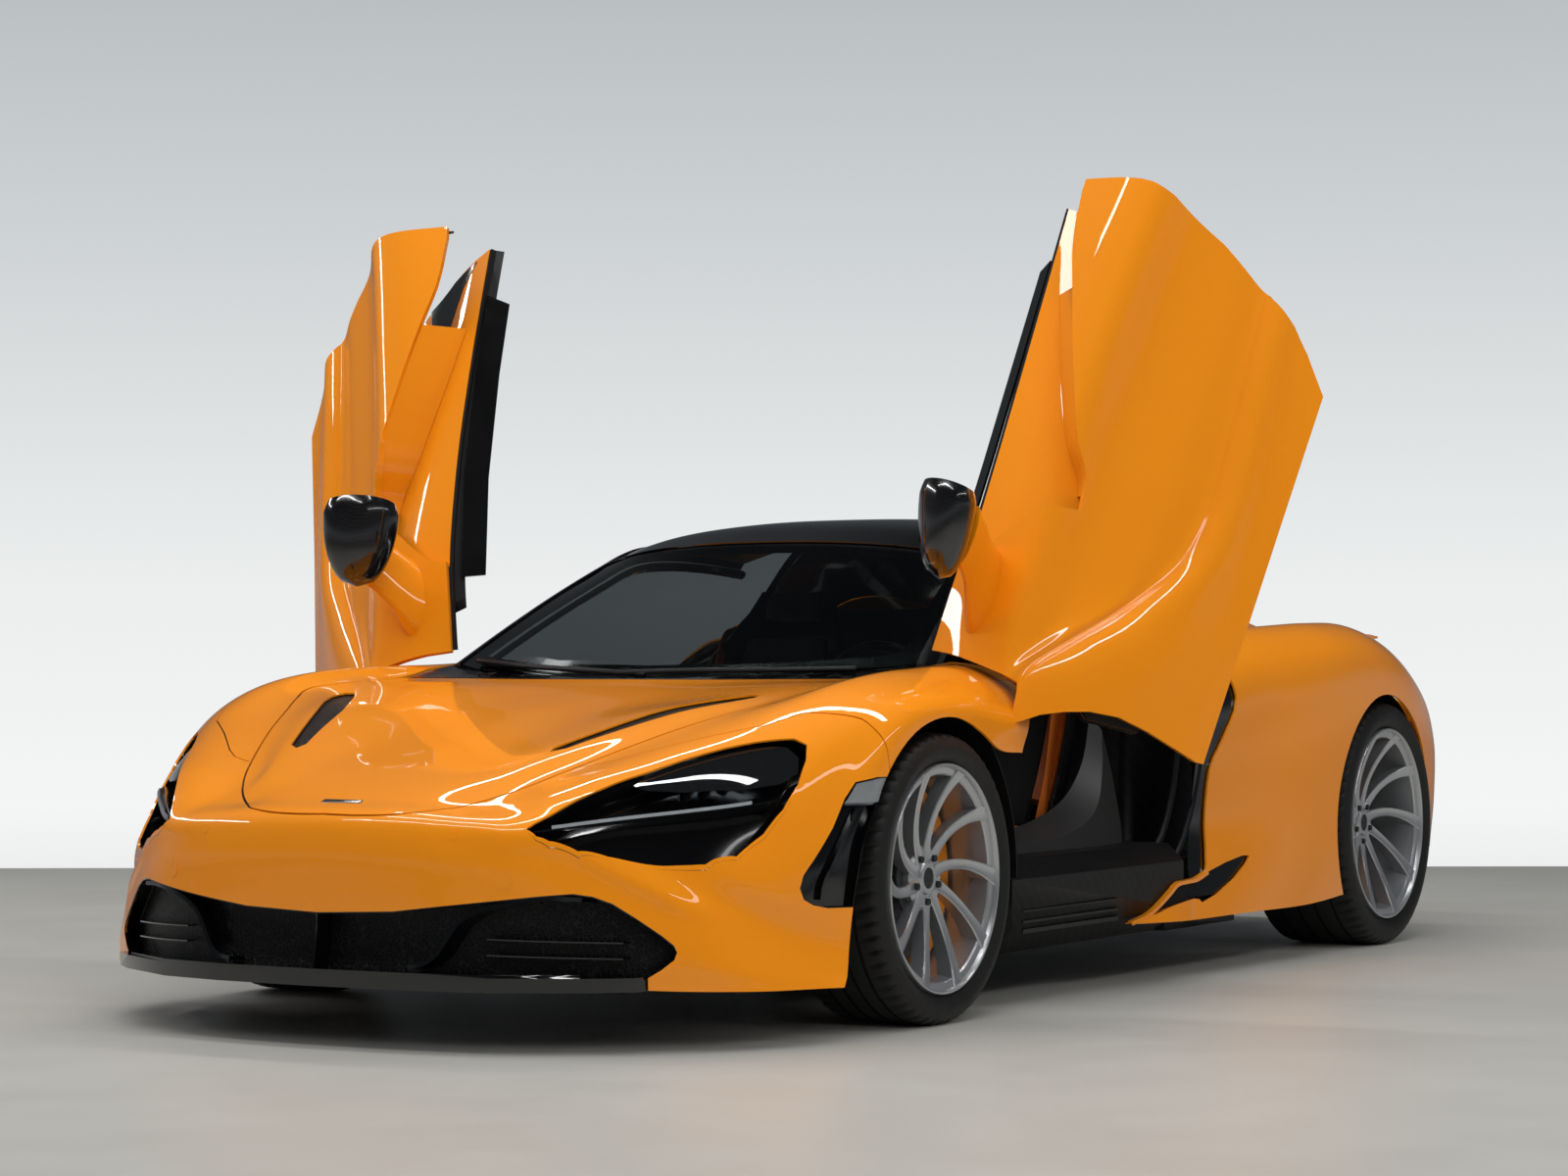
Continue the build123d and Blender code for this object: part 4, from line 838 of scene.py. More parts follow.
trees = [BVHTree.FromBMesh(surface(table, 10, 12, symmetric=False)) for table in (DOOR, CARD)]
channel_wall = [[], []]
for y, z in BLADE_EDGE[2:-8]:
    hits = [tree.ray_cast(Vector((2, y / 1000, z / 1000)), Vector((-1, 0, 0)))[0] for tree in trees]
    channel_wall[0].append((hits[0].x * 1000 - 8, y, z - 6))
    channel_wall[1].append((min(hits[1].x * 1000 + 3, hits[0].x * 1000 - 12), y, z + 4))

for hand in ("left", "right"):
    body = f"door_{hand}"
    bm = surface(DOOR, 10, 14, symmetric=False)
    trim(bm, DOOR_OUTLINE, "yz")
    trim(bm, BLADE_EDGE + [(505, 1000), (-470, 1000), (-440, 830), (-300, 730)], "yz", keep=False)
    blade = door_sheet(bm, hand, "blade", paint, 18.0)
    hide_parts(f"door_{hand}_skin")
    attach(blade, body)

    bm = surface(DOOR, 6, 8, symmetric=False, shift=(-19.5, 0, -4))
    trim(bm, grown(DOOR_OUTLINE, 9), "yz")
    above = moved(BLADE_EDGE, 0, -16) + [(515, 1000), (-480, 1000), (-450, 822), (-310, 722)]
    trim(bm, above, "yz", keep=False)
    back = door_sheet(bm, hand, "blade_back", satin_black, 2.0)
    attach(back, body)

    bm = surface(CARD, 10, 12, symmetric=False, shift=(2.6, 0, 0))
    trim(bm, CARD_OUTLINE, "yz")
    channel = door_sheet(bm, hand, "channel_skin", paint, 2.8)
    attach(channel, body)

    bm = bmesh.new()
    web(bm, channel_wall[0], channel_wall[1], 3.0)
    hang(bm, hand)
    wall = show(bm, f"door_{hand}_channel_wall", paint)
    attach(wall, body)

    bm = surface(CARD, 10, 12, symmetric=False, shift=(4.4, 0, 0))
    trim(bm, [(455, 812), (396, 760), (276, 722), (258, 660), (330, 596), (412, 560), (446, 690)], "yz")
    duct = door_sheet(bm, hand, "channel_duct", gloss, 1.5)
    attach(duct, body)

    bm = bmesh.new()
    web(bm, [(730, -480, 850), (726, -200, 856), (697, 100, 862), (665, 330, 866)],
        [(668, -470, 858), (662, -200, 864), (634, 100, 870), (606, 310, 873)], 6.0)
    hang(bm, hand)
    ledge = show(bm, f"door_{hand}_belt_ledge", gloss)
    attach(ledge, body)

    bm = surface(CARD, 10, 12, symmetric=False, shift=(-1, 0, 0))
    trim(bm, grown(CARD_OUTLINE, -5), "yz")
    trim(bm, grown(CARD_OUTLINE, 12), "yz", keep=False)
    seal = door_sheet(bm, hand, "seal", rubber_seal, 16.0)
    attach(seal, body)
    from_cad(f"door_{hand}_card", door_black, body)

    # Mirror: an egg-shaped carbon shell, cut flat behind for the glass.
    bm = bmesh.new()
    rows = []
    for k in range(15):
        t = k / 14
        y = -100 + 208 * t
        size = (max(0.0, 1 - (1 - t * 1.12) ** 2)) ** 0.44 if t < 0.9 else 0.985 - (t - 0.9) * 0.9
        rows.append([(1030 + 98 * a, -471 + y, 946 + 0.2 * y + 68 * b)
                     for a, b in ring(0, 0, max(size, 0.03), 32)])
    glass_face = loft(bm, rows)
    bmesh.ops.inset_region(bm, faces=[glass_face], thickness=0.007, depth=-0.006)
    glass_face.material_index = 1
    hang(bm, hand)
    shell = show(bm, f"door_{hand}_mirror_shell", mirror_carbon)
    shell.data.materials.append(mirror_glass)
    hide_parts(f"door_{hand}_mirror")
    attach(shell, body)

    # Mirror foot: a thin orange blade that spreads into a leaf on the door.
    bm = bmesh.new()
    rows = []
    for x, z, front, rear, thick in ((1035, 892, -525, -380, 22), (1000, 874, -535, -388, 20),
                                     (960, 852, -550, -398, 20), (905, 826, -585, -412, 24),
                                     (866, 802, -622, -425, 40), (842, 786, -640, -430, 50)):
        mid, half = (front + rear) / 2, (rear - front) / 2
        rows.append([(x + 0.5 * thick * b, mid + half * a, z - 0.6 * thick * b)
                     for a, b in ring(0, 0, 1, 20)])
    loft(bm, rows)
    hang(bm, hand)
    foot = show(bm, f"door_{hand}_mirror_foot", paint)
    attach(foot, body)


# ---- Rear body -------------------------------------------------------------------
# Orange rear quarters over the wheels, drawn in one piece from the sill to the deck,
# with a slot intake in front of each rear wheel. A black louvred cover lies between the
# buttresses over the engine.
REAR = [
    [(0, 482, 1166), (430, 476, 1142), (640, 500, 900), (765, 526, 852),
     (868, 440, 740), (880, 350, 560), (885, 290, 360), (940, 178, 150)],
    [(0, 760, 1130), (470, 750, 1105), (640, 750, 905), (790, 740, 888),
     (900, 735, 790), (912, 690, 600), (918, 620, 380), (950, 500, 150)],
    [(0, 1000, 1050), (490, 1000, 1045), (640, 1000, 890), (805, 1000, 906),
     (928, 1000, 820), (952, 980, 640), (955, 960, 400), (962, 900, 150)],
    [(0, 1250, 965), (500, 1250, 985), (640, 1250, 880), (808, 1250, 918),
     (935, 1250, 850), (966, 1250, 700), (968, 1250, 420), (960, 1250, 170)],
    [(0, 1500, 900), (510, 1500, 925), (650, 1500, 872), (805, 1500, 915),
     (930, 1500, 845), (965, 1500, 700), (966, 1500, 420), (950, 1500, 190)],
    [(0, 1800, 868), (510, 1800, 880), (650, 1800, 838), (800, 1800, 850),
     (905, 1800, 772), (945, 1800, 640), (948, 1800, 420), (935, 1800, 220)],
    [(0, 2060, 855), (500, 2050, 845), (640, 2040, 800), (770, 2030, 750),
     (865, 2010, 686), (905, 1990, 590), (910, 1985, 420), (895, 1985, 260)],
    [(0, 2230, 855), (480, 2215, 838), (620, 2190, 780), (735, 2150, 700),
     (822, 2110, 632), (858, 2090, 560), (862, 2085, 430), (850, 2085, 300)],
]
TAIL = [
    [(0, 2236, 800), (300, 2230, 800), (560, 2195, 775), (740, 2130, 690), (860, 2040, 640)],
    [(0, 2250, 660), (300, 2243, 660), (565, 2207, 640), (745, 2140, 590), (872, 2035, 540)],
    [(0, 2271.5, 520), (300, 2263, 520), (570, 2225, 500), (748, 2150, 470), (882, 2032, 430)],
    [(0, 2262, 380), (300, 2254, 380), (570, 2216, 370), (745, 2140, 350), (880, 2025, 330)],
    [(0, 2230, 280), (300, 2224, 280), (565, 2190, 280), (738, 2115, 270), (870, 2010, 262)],
]
QUARTER_FRONT = [(100, 900), (540, 900), (560, 752), (562, 713), (491, 616), (404, 528), (371, 414),
                 (332, 288), (314, 262), (100, 262)]
INTAKE_SLOT = [(262, 252), (345, 268), (431, 284), (530, 298), (567, 296), (540, 277), (466, 244),
               (344, 207), (252, 190), (240, 200)]
REAR_ARCH = ring(1465, 340, 374)
REAR_IN = (-0.60, -0.25, -0.76)  # inwards from the outer face
QUARTER_FROM = 655              # x of the joint between deck and quarters
DECK_FROM = 720                 # z of the deck's lowest edge


def rear_sheet(inwards=0.0):
    """Sheet of the whole rear body, some millimetres inside its outer face."""
    return surface(REAR, 10, 12, shift=tuple(inwards * share for share in REAR_IN))


bm = rear_sheet()
half_space(bm, "x", QUARTER_FROM)
half_space(bm, "y", 1984, above=False)
trim(bm, REAR_ARCH, "yz", keep=False)
trim(bm, [(1485, 50), (1485, 340), (2010, 250), (2010, 50)], "yz", keep=False)
trim(bm, curve(QUARTER_FRONT[1:-1], 3) + [QUARTER_FRONT[-1], QUARTER_FRONT[0]], "yz", keep=False)
trim(bm, INTAKE_SLOT, "yz", keep=False)
trim(bm, [(100, 264), (316, 264), (263, 253), (253, 190), (241, 200), (100, 202)], "yz", keep=False)
quarters = panel(bm, "quarter_skins", paint, 6.0, up=(1, 0, 1))
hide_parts("rear_quarters")
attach(quarters, "car_body")

bm = rear_sheet(12.0)
half_space(bm, "x", QUARTER_FROM)
half_space(bm, "y", 760, above=False)
half_space(bm, "z", 205)
posts = panel(bm, "door_shut_faces", gloss, 3.0, up=(1, 0, 1))
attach(posts, "car_body")

bm = rear_sheet(34.0)
half_space(bm, "x", QUARTER_FROM)
trim(bm, grown(INTAKE_SLOT, -24), "yz")
duct = panel(bm, "intake_ducts", mesh_black, 2.0, up=(1, 0, 1))
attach(duct, "car_body")

# Intake lip: the quarter runs forward under the door as a thin blade with a turned edge.
LIP = [(920, 316, 268), (920, 250, 253), (920, 190, 250), (920, 130, 246), (920, 75, 222),
       (919, -30, 182), (918, -140, 164)]
BLADE_FOOT = [(941, 184, 151), (944, 150, 151), (945, 110, 152), (944, 50, 154), (936, -15, 156),
              (925, -90, 158), (919, -142, 160)]
BLADE_TOP = [(930, 214, 200), (931, 170, 197), (932, 120, 193), (931, 55, 186), (926, -10, 174),
             (920, -90, 166), (918, -142, 162)]
bm = bmesh.new()
lip, low, high = [curve(line, 4, [60] * 6) for line in (LIP, BLADE_FOOT, BLADE_TOP)]
web(bm, lip, [(x - 14, y + 2, z + 1) for x, y, z in lip], 4.0)
web(bm, lip, [(x + 1, y + 2, z - 9) for x, y, z in lip], 3.0)
web(bm, low, high, 4.0)
web(bm, high, [(x - 18, y, z - 4) for x, y, z in high], 3.0)
blades = twins(bm, "intake_blades", paint)
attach(blades, "car_body")

bm = bmesh.new()
web(bm, [(x - 16, y, z) for x, y, z in lip], [(x - 16, y, z - 5) for x, y, z in high], 3.0)
backs = twins(bm, "intake_backs", rubber_seal)
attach(backs, "car_body")

# Engine cover: gloss black, sunk at its front edge, with satin louvres across it.
SINK_MIDDLE, SINK_REACH, SINK_DEPTH = 0.50, 0.35, 0.034
COVER = [(0, 400), (628, 400), (628, 700), (600, 860), (540, 1000), (470, 1250), (380, 1480), (240, 1600),
         (0, 1640)]
bm = rear_sheet()
half_space(bm, "x", QUARTER_FROM - 4, above=False)
half_space(bm, "x", 0)
trim(bm, COVER, keep=False)
half_space(bm, "z", DECK_FROM)
deck = panel(bm, "deck_skin", paint)
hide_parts("rear_deck")
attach(deck, "car_body")

bm = rear_sheet()
half_space(bm, "x", 0)
trim(bm, grown(COVER, -4))
half_space(bm, "z", DECK_FROM)
bmesh.ops.translate(bm, verts=bm.verts, vec=(0, 0, -0.002))
for vert in bm.verts:
    vert.co.z -= max(0.0, 1 - abs(vert.co.y - SINK_MIDDLE) / SINK_REACH) * SINK_DEPTH
cover = panel(bm, "engine_cover", gloss, 4.0)
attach(cover, "car_body")

bm = bmesh.new()
cover_tree = BVHTree.FromBMesh(rear_sheet())
for y in range(980, 1480, 62):
    path = []
    for k in range(15):
        x = (400 - (y - 980) * 0.35) * k / 14
        hit = cover_tree.ray_cast(Vector((x / 1000, y / 1000, 2)), Vector((0, 0, -1)))[0]
        path.append((x, y, hit.z * 1000 + 2))
    strip(bm, path, (0, 34, 8), 3.0)
louvres = twins(bm, "engine_cover_louvres", satin_black)
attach(louvres, "car_body")

# Tail: orange corners round a black mesh panel that carries the tailpipes.
MESH_PANEL = [(-5, 772), (300, 770), (420, 760), (640, 690), (722, 560), (700, 470), (560, 420),
              (300, 402), (-5, 400)]
TAIL_LAMP = [(430, 702), (700, 664), (800, 622), (842, 572), (846, 500), (830, 500), (822, 560),
             (786, 602), (690, 642), (430, 682)]
bm = surface(TAIL, 12, 12)
trim(bm, MESH_PANEL, "xz", keep=False)
trim(bm, TAIL_LAMP, "xz", keep=False)
tail = panel(bm, "tail_skin", paint, 5.0, up=(0, 1, 0))
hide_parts("rear_bumper")
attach(tail, "car_body")

bm = surface(TAIL, 12, 12, shift=(0, -14, 0))
trim(bm, grown(MESH_PANEL, -10), "xz")
trim(bm, ring(235, 590, 66, 48), "xz", keep=False)
mesh_panel = panel(bm, "tail_mesh", mesh_black, 3.0, up=(0, 1, 0))
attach(mesh_panel, "car_body")

lamp_red = coating("red_lamp_lens", 10.0, "6E0306", "8A0508", Roughness=0.08, Coat_Weight=1.0,
                   Coat_Roughness=0.02)
from_cad("tail_lamps", lamp_red, "car_body")
from_cad("rear_wing", paint, "car_body")
from_cad("diffuser", satin_black, "car_body")
pipe_steel = coating("heat_tinted_steel", 90.0, "77716A", "9C9690", Metallic=1.0, Roughness=0.28)
from_cad("exhausts", pipe_steel, "car_body")


# ---- Tyres --------------------------------------------------------------------------
# Low, wide road tyres: moulded rubber with four running grooves, cut shoulder blocks and
# a rounded sidewall that bulges past the rim flange.

# Each axle's name, y, x, tyre radius and width, and rim radius.
AXLES = (("front", -1185, 837.0, 327.0, 245, 258.6), ("rear", 1485, 814.5, 345.5, 305, 271.3))
WHEELS = [(axle[0], hand) + axle[1:] for axle in AXLES for hand in ("left", "right")]
TREAD_STEPS = 240
TREAD_SLANT = 0.0006            # radians for each millimetre across

rubber = coating("tyre_rubber", 40.0, "0C0C0C", "131312", 5.0, sheen=(25.0, 0.52, 0.70), bump=(1.2, 0.06),
                 Roughness=0.62)


def place_wheel(bm, x, y, z, hand):
    """Moves a left-hand wheel piece, drawn about the origin, to its axle on one side."""
    bmesh.ops.recalc_face_normals(bm, faces=bm.faces)
    if hand == "right":
        bmesh.ops.scale(bm, verts=bm.verts, vec=(-1, 1, 1))
        bmesh.ops.reverse_faces(bm, faces=bm.faces)
        x = -x
    bmesh.ops.translate(bm, verts=bm.verts, vec=(x / 1000, y / 1000, z / 1000))


def tyre_mesh(radius, width, rim_r):
    """Tyre about the X axis, with its shoulders cut down at every fourth step round.

    Its profile has the place outboard, the radius and the depth of that cut."""
    half = width / 2
    side = [(half - 19.4, rim_r - 17, 0), (half - 19.4, rim_r + 1, 0), (half - 12, rim_r + 6, 0),
            (half - 10, rim_r + 10, 0), (half - 4, rim_r + 20, 0), (half - 0.5, rim_r + 32, 0),
            (half - 1, radius - 32, 0), (half - 4, radius - 20, 0), (half - 9, radius - 11, 3),
            (half - 16, radius - 5, 6), (half - 26, radius - 1.8, 7), (half - 40, radius - 0.4, 7)]
    profile = list(side)
    reach = half - 44
    for k in range(4):
        mid = reach - (k + 0.5) * reach / 2
        profile += [(mid + 5, radius, 0), (mid + 4, radius - 7, 0), (mid - 4, radius - 7, 0),
                    (mid - 5, radius, 0)]
    profile += [(-a, r, cut) for a, r, cut in reversed(side)]
    bm = bmesh.new()
    rows = []
    for k in range(TREAD_STEPS):
        turn = 2 * pi * k / TREAD_STEPS
        row = [(a, r - cut * (k % 4 == 0), turn + a * TREAD_SLANT) for a, r, cut in profile]
        rows.append([(a, r * sin(angle), r * cos(angle)) for a, r, angle in row])
    loft(bm, rows, closed=True)
    return bm


for axle, hand, y, x, radius, width, rim_r in WHEELS:
    bm = tyre_mesh(radius, width, rim_r)
    place_wheel(bm, x, y, radius, hand)
    tyre = show(bm, f"{axle}_{hand}_tread_tyre", rubber)
    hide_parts(f"{axle}_{hand}_tyre")
    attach(tyre, f"wheel_{axle}_{hand}")


# ---- Rims -----------------------------------------------------------------------------
# Forged aluminium rims painted bright silver. Ten curved spokes, wide at the hub and at
# the flange, sweep clockwise outwards. Five lug bolts and a blank cap are dark steel.
SPOKES = 10
SPOKE_SWEEP = radians(20)
HUB_FACE = 45                   # outboard of the wheel's middle plane

alloy = coating("silver_painted_alloy", 1.2, "B2B4B7", "C4C6C9", 2.0, sheen=(70.0, 0.28, 0.38),
                Metallic=0.8, Roughness=0.32, Coat_Weight=0.5, Coat_Roughness=0.08)
dark_steel = coating("dark_machined_steel", 18.0, "3C3D3F", "505254", 5.0, Metallic=1.0, Roughness=0.42)


def lathe(bm, profile, steps):
    """Closed ring about the X axis through (outboard, radius) points in millimetres."""
    verts = [bm.verts.new((a / 1000, 0, r / 1000)) for a, r in profile]
    edges = [bm.edges.new(pair) for pair in zip(verts, verts[1:] + verts[:1])]
    bmesh.ops.spin(bm, geom=verts + edges, cent=(0, 0, 0), axis=(1, 0, 0), angle=2 * pi, steps=steps,
                   use_merge=True)


def spoke(bm, width, reach, start):
    """One swept spoke from the hub out to the rim's barrel."""
    rows = []
    for k in range(15):
        t = k / 14
        far = 44 + (reach - 44) * t
        turn = start + SPOKE_SWEEP * t ** 1.3
        out = HUB_FACE + 22 + (width / 2 - 12 - HUB_FACE - 22) * t ** 1.35 - 5 * sin(pi * t)
        wide = 16.5 - 4.5 * sin(pi * min(1, t * 1.1)) + 4 * max(0, t - 0.8) * 5
        deep = 21 + 24 * t ** 0.8
        section = ((-0.8, 0), (0, 2.5), (0.8, 0), (1, 2.5), (0.7, deep), (-0.7, deep), (-1, 2.5))
        row = [(out - drop, turn + side * wide / far) for side, drop in section]
        rows.append([(a, far * sin(angle), far * cos(angle)) for a, angle in row])
    loft(bm, rows)


def rim_mesh(width, rim_r):
    """Barrel, flange, spokes and hub of a rim."""
    half = width / 2
    seat = rim_r - 17.4
    bm = bmesh.new()
    lathe(bm, [(-half + 6, rim_r), (19 - half, rim_r), (19 - half, seat), (45 - half, seat),
               (70 - half, seat - 5), (half - 60, seat - 5), (half - 35, seat - 1), (half - 19, seat),
               (half - 19, rim_r), (half - 9, rim_r), (half - 6, rim_r - 1.5), (half - 6, rim_r - 5),
               (half - 9, rim_r - 7.5), (half - 17, rim_r - 10), (half - 20, seat - 6),
               (half - 24, seat - 9), (half - 34, seat - 9), (half - 60, seat - 12),
               (70 - half, seat - 12), (45 - half, seat - 7), (12 - half, seat - 7)], 128)
    lathe(bm, [(HUB_FACE, 24), (HUB_FACE, 74), (HUB_FACE + 14, 74), (HUB_FACE + 20, 66), (HUB_FACE + 20, 38),
               (HUB_FACE + 26, 34), (HUB_FACE + 26, 24)], 64)
    for k in range(SPOKES):
        spoke(bm, width, rim_r - 9, 2 * pi * k / SPOKES)
    return bm


for axle, hand, y, x, radius, width, rim_r in WHEELS:
    bm = rim_mesh(width, rim_r)
    place_wheel(bm, x, y, radius, hand)
    wheel = show(bm, f"{axle}_{hand}_spoked_rim", alloy)
    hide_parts(f"{axle}_{hand}_rim")
    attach(wheel, f"wheel_{axle}_{hand}")

    bm = bmesh.new()
    lathe(bm, [(HUB_FACE + 8, 0.5), (HUB_FACE + 8, 23), (HUB_FACE + 22, 23), (HUB_FACE + 24, 20),
               (HUB_FACE + 24, 0.5)], 32)
    for k in range(5):
        turn = 2 * pi * (k + 0.5) / 5
        place = Matrix.Translation(((HUB_FACE + 21) / 1000, 0.053 * sin(turn), 0.053 * cos(turn)))
        bmesh.ops.create_cone(bm, cap_ends=True, segments=6, radius1=0.0085, radius2=0.0085, depth=0.014,
                              matrix=place @ Matrix.Rotation(pi / 2, 4, "Y"))
    place_wheel(bm, x, y, radius, hand)
    cap = show(bm, f"{axle}_{hand}_cap_and_bolts", dark_steel)
    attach(cap, f"wheel_{axle}_{hand}")


# ---- Brakes ---------------------------------------------------------------------------
# Cross-drilled carbon ceramic discs on aluminium bells, and multi-piston calipers in the
# body's orange, bolted to the uprights.
ceramic, tree, shader = finish("carbon_ceramic_disc", Roughness=0.38, Metallic=0.35)
mottle(tree, shader, pattern(tree, 5.0, 6.0), linear("3A3B3C"), linear("5A5B5C"))
holes = add(tree, "TexVoronoi", {"Vector": own_place(tree), "Scale": 1000 / 21.0})
relief(tree, shader, add(tree, "MapRange", {0: holes.outputs["Distance"], 1: 0.14, 2: 0.2}).outputs[0], 2.0)

for axle, hand, y, x, radius, *_ in WHEELS:
    bm = bmesh.new()
    lathe(bm, [(-46, 196), (-47, 195), (-47, 126), (-43, 124), (-18, 124), (-13, 126), (-13, 195),
               (-14, 196)], 96)
    lathe(bm, [(-13.5, 128), (-20, 118), (-20, 90), (-38, 62), (-38, 31), (44, 31), (44, 98), (38, 98),
               (38, 60), (-8, 66), (-10, 92), (-13.5, 110)], 64)
    place_wheel(bm, x, y, radius, hand)
    disc = show(bm, f"{axle}_{hand}_drilled_disc", ceramic)
    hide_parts(f"{axle}_{hand}_disc")
    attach(disc, f"wheel_{axle}_{hand}")

from_cad("front_left_caliper", paint, "knuckle_left")
from_cad("front_right_caliper", paint, "knuckle_right")
from_cad("rear_calipers", paint, "car_body")


# ---- Windscreen, frame and roof ------------------------------------------------------
# Laminated windscreen bonded into a gloss black frame, with a fired black border, under a
# gloss black folding hard top. Two wipers park at its foot.
SCREEN = [
    [(0, -985, 776), (280, -968, 779), (500, -905, 790), (662, -790, 806)],
    [(0, -800, 885), (270, -787, 884), (475, -735, 884), (628, -635, 892)],
    [(0, -590, 1005), (258, -580, 1001), (448, -540, 990), (592, -460, 982)],
    [(0, -370, 1112), (245, -364, 1106), (420, -336, 1090), (558, -280, 1064)],
]
ROOF = [
    [(0, -360, 1120), (245, -354, 1114), (420, -326, 1098), (560, -270, 1072)],
    [(0, -150, 1168), (240, -150, 1162), (415, -140, 1144), (575, -110, 1110)],
    [(0, 100, 1190), (235, 100, 1184), (412, 100, 1164), (580, 90, 1126)],
    [(0, 300, 1188), (235, 300, 1182), (412, 296, 1162), (575, 280, 1122)],
    [(0, 462, 1172), (230, 460, 1167), (425, 452, 1148), (560, 436, 1110)],
]
glass = coating("laminated_glass", 300.0, "8E9694", "969E9C", Roughness=0.0, Transmission_Weight=1.0,
                IOR=1.45)

bm = surface(SCREEN, 10, 12)
screen = panel(bm, "screen_glass", glass, 5.0)
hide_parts("windscreen")
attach(screen, "car_body")

bm = surface(SCREEN, 10, 12, shift=(0, 0, -8))
trim(bm, curve([(0, -930), (270, -912), (480, -850), (600, -752), (572, -600), (545, -450), (510, -338),
                (420, -375), (245, -402), (0, -410)], 3), keep=False)
border = panel(bm, "fired_border", gloss, 1.0)
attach(border, "car_body")

bm = surface(ROOF, 10, 12)
roof = panel(bm, "roof_panel", gloss, 12.0)
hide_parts("roof")
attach(roof, "car_body")

bm = surface(ROOF, 10, 12, shift=(0, 0, -22))
lining = panel(bm, "roof_lining", rubber_seal, 4.0)
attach(lining, "car_body")

# Rail along the edge of screen and roof, with a slimmer seal carrier under it.
RAIL = ((2, 0, 4), (22, 3, -2), (40, 8, -16), (44, 10, -36), (12, 4, -42), (-2, 0, -26))
CARRIER = ((0, 0, -44), (10, 4, -48), (16, 6, -62), (6, 2, -68), (-6, 0, -60), (-8, 0, -50))
bm = bmesh.new()
line = curve([row[-1] for row in SCREEN + ROOF[1:]], 8)
for section in (RAIL, CARRIER):
    loft(bm, [[Vector(p) + Vector(s) for s in section] for p in line])
frame_rails = twins(bm, "screen_frame_rails", gloss)
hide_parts("screen_frame")
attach(frame_rails, "car_body")


def tube(bm, path, radii, parts):
    """Round rod through points in millimetres, with a radius at each."""
    points = [Vector(p) for p in path]
    rows = []
    for k, (p, radius) in enumerate(zip(points, radii)):
        way = points[min(k + 1, len(points) - 1)] - points[max(k - 1, 0)]
        turn = way.to_track_quat("Z", "Y")
        rows.append([p + turn @ Vector((a, b, 0)) for a, b in ring(0, 0, radius, parts)])
    loft(bm, rows)


bm = bmesh.new()
for blade in ([(40, -1000, 779), (-160, -982, 789), (-380, -930, 800), (-560, -848, 812)],
              [(560, -892, 792), (380, -958, 789), (150, -988, 787), (-40, -1002, 782)]):
    line = curve(blade, 6, [200] * 3)
    tube(bm, [(x, y - 8, z + 3) for x, y, z in line], [7] * len(line), 8)
    tube(bm, [(x, y + 6, z + 2) for x, y, z in line[6:]], [4] * len(line), 8)
wipers = show(bm, "wipers", satin_black)
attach(wipers, "car_body")


# ---- Cabin -----------------------------------------------------------------------------
# Moulded carbon tub with bonded sills, a dark trimmed dash, and a small flat-bottomed
# steering wheel on a cowled column.
carbon, tree, shader = finish("carbon_fibre_twill", Roughness=0.45, Specular_IOR_Level=0.25)
wave = add(tree, "TexWave", {"Vector": own_place(tree), "Scale": 1000 / 24.0 / 6.28 * 2},
           bands_direction="DIAGONAL")
weave = wave.outputs[1]
mottle(tree, shader, weave, linear("09090A"), linear("121213"))
relief(tree, shader, weave, 0.08)

trim_black = coating("soft_trim_suede", 2.0, "121213", "1B1B1D", 5.0, bump=(1.0, 0.12), Roughness=0.9,
                     Sheen_Weight=0.25)

from_cad("tub", carbon, "car_body")
from_cad("dashboard", trim_black, "car_body")
from_cad("centre_console", satin_black, "car_body")

# Steering wheel: three spokes, and a rim cut flat below.
HELM = Vector((365, -395, 690))
COLUMN = Vector((0, -0.94, -0.342))
RIGHT = Vector((1, 0, 0))
LIFT = Vector((0, -0.342, 0.94))
HELM_RADIUS = 168
FLAT_BELOW = 0.72               # share of the radius
bm = bmesh.new()
path = []
for k in range(49):
    turn = 2 * pi * k / 48
    reach = HELM_RADIUS * FLAT_BELOW / max(FLAT_BELOW, -sin(turn))
    path.append(HELM + RIGHT * reach * cos(turn) + LIFT * reach * sin(turn))
tube(bm, path, [14] * len(path), 12)
for aside, above in ((150, 10), (-150, 10), (0, -148)):
    tip = HELM + RIGHT * aside + LIFT * above
    tube(bm, [HELM - COLUMN * 4, (HELM + tip) / 2, tip], [24, 12, 13], 10)
tube(bm, [HELM - COLUMN * 14, HELM - COLUMN * 12, HELM + COLUMN * 59], [30, 42, 26], 24)
bmesh.ops.remove_doubles(bm, verts=bm.verts, dist=1e-5)
bmesh.ops.recalc_face_normals(bm, faces=bm.faces)
helm = show(bm, "steering_wheel_rim", trim_black)
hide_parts("steering_wheel")
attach(helm, "steering_wheel")


# ---- Seats and belts -------------------------------------------------------------------
# Thin carbon bucket shells with foam pads trimmed in black suede, orange inner
# bolsters, and orange three-point belts.
suede = coating("black_suede_cover", 2.2, "161617", "202022", 5.0, bump=(1.4, 0.2), Roughness=0.92,
                Sheen_Weight=0.3)
orange_hide = coating("orange_leather", 3.0, "C05A0C", "CC6512", 5.0, bump=(1.6, 0.15), Roughness=0.5)
webbing, tree, shader = finish("orange_belt_webbing", Roughness=0.7)
wave = add(tree, "TexWave", {"Vector": own_place(tree), "Scale": 1000 / 3.0 / 6.28}, bands_direction="Z")
ribs = wave.outputs[1]
mottle(tree, shader, ribs, linear("B8560A"), linear("CE6A14"))
relief(tree, shader, ribs, 0.2)


def smoothed(bm, verts, times):
    """Relaxes some corners so many times."""
    for _ in range(times):
        bmesh.ops.smooth_vert(bm, verts=verts, factor=0.5, use_axis_x=True, use_axis_y=True, use_axis_z=True)


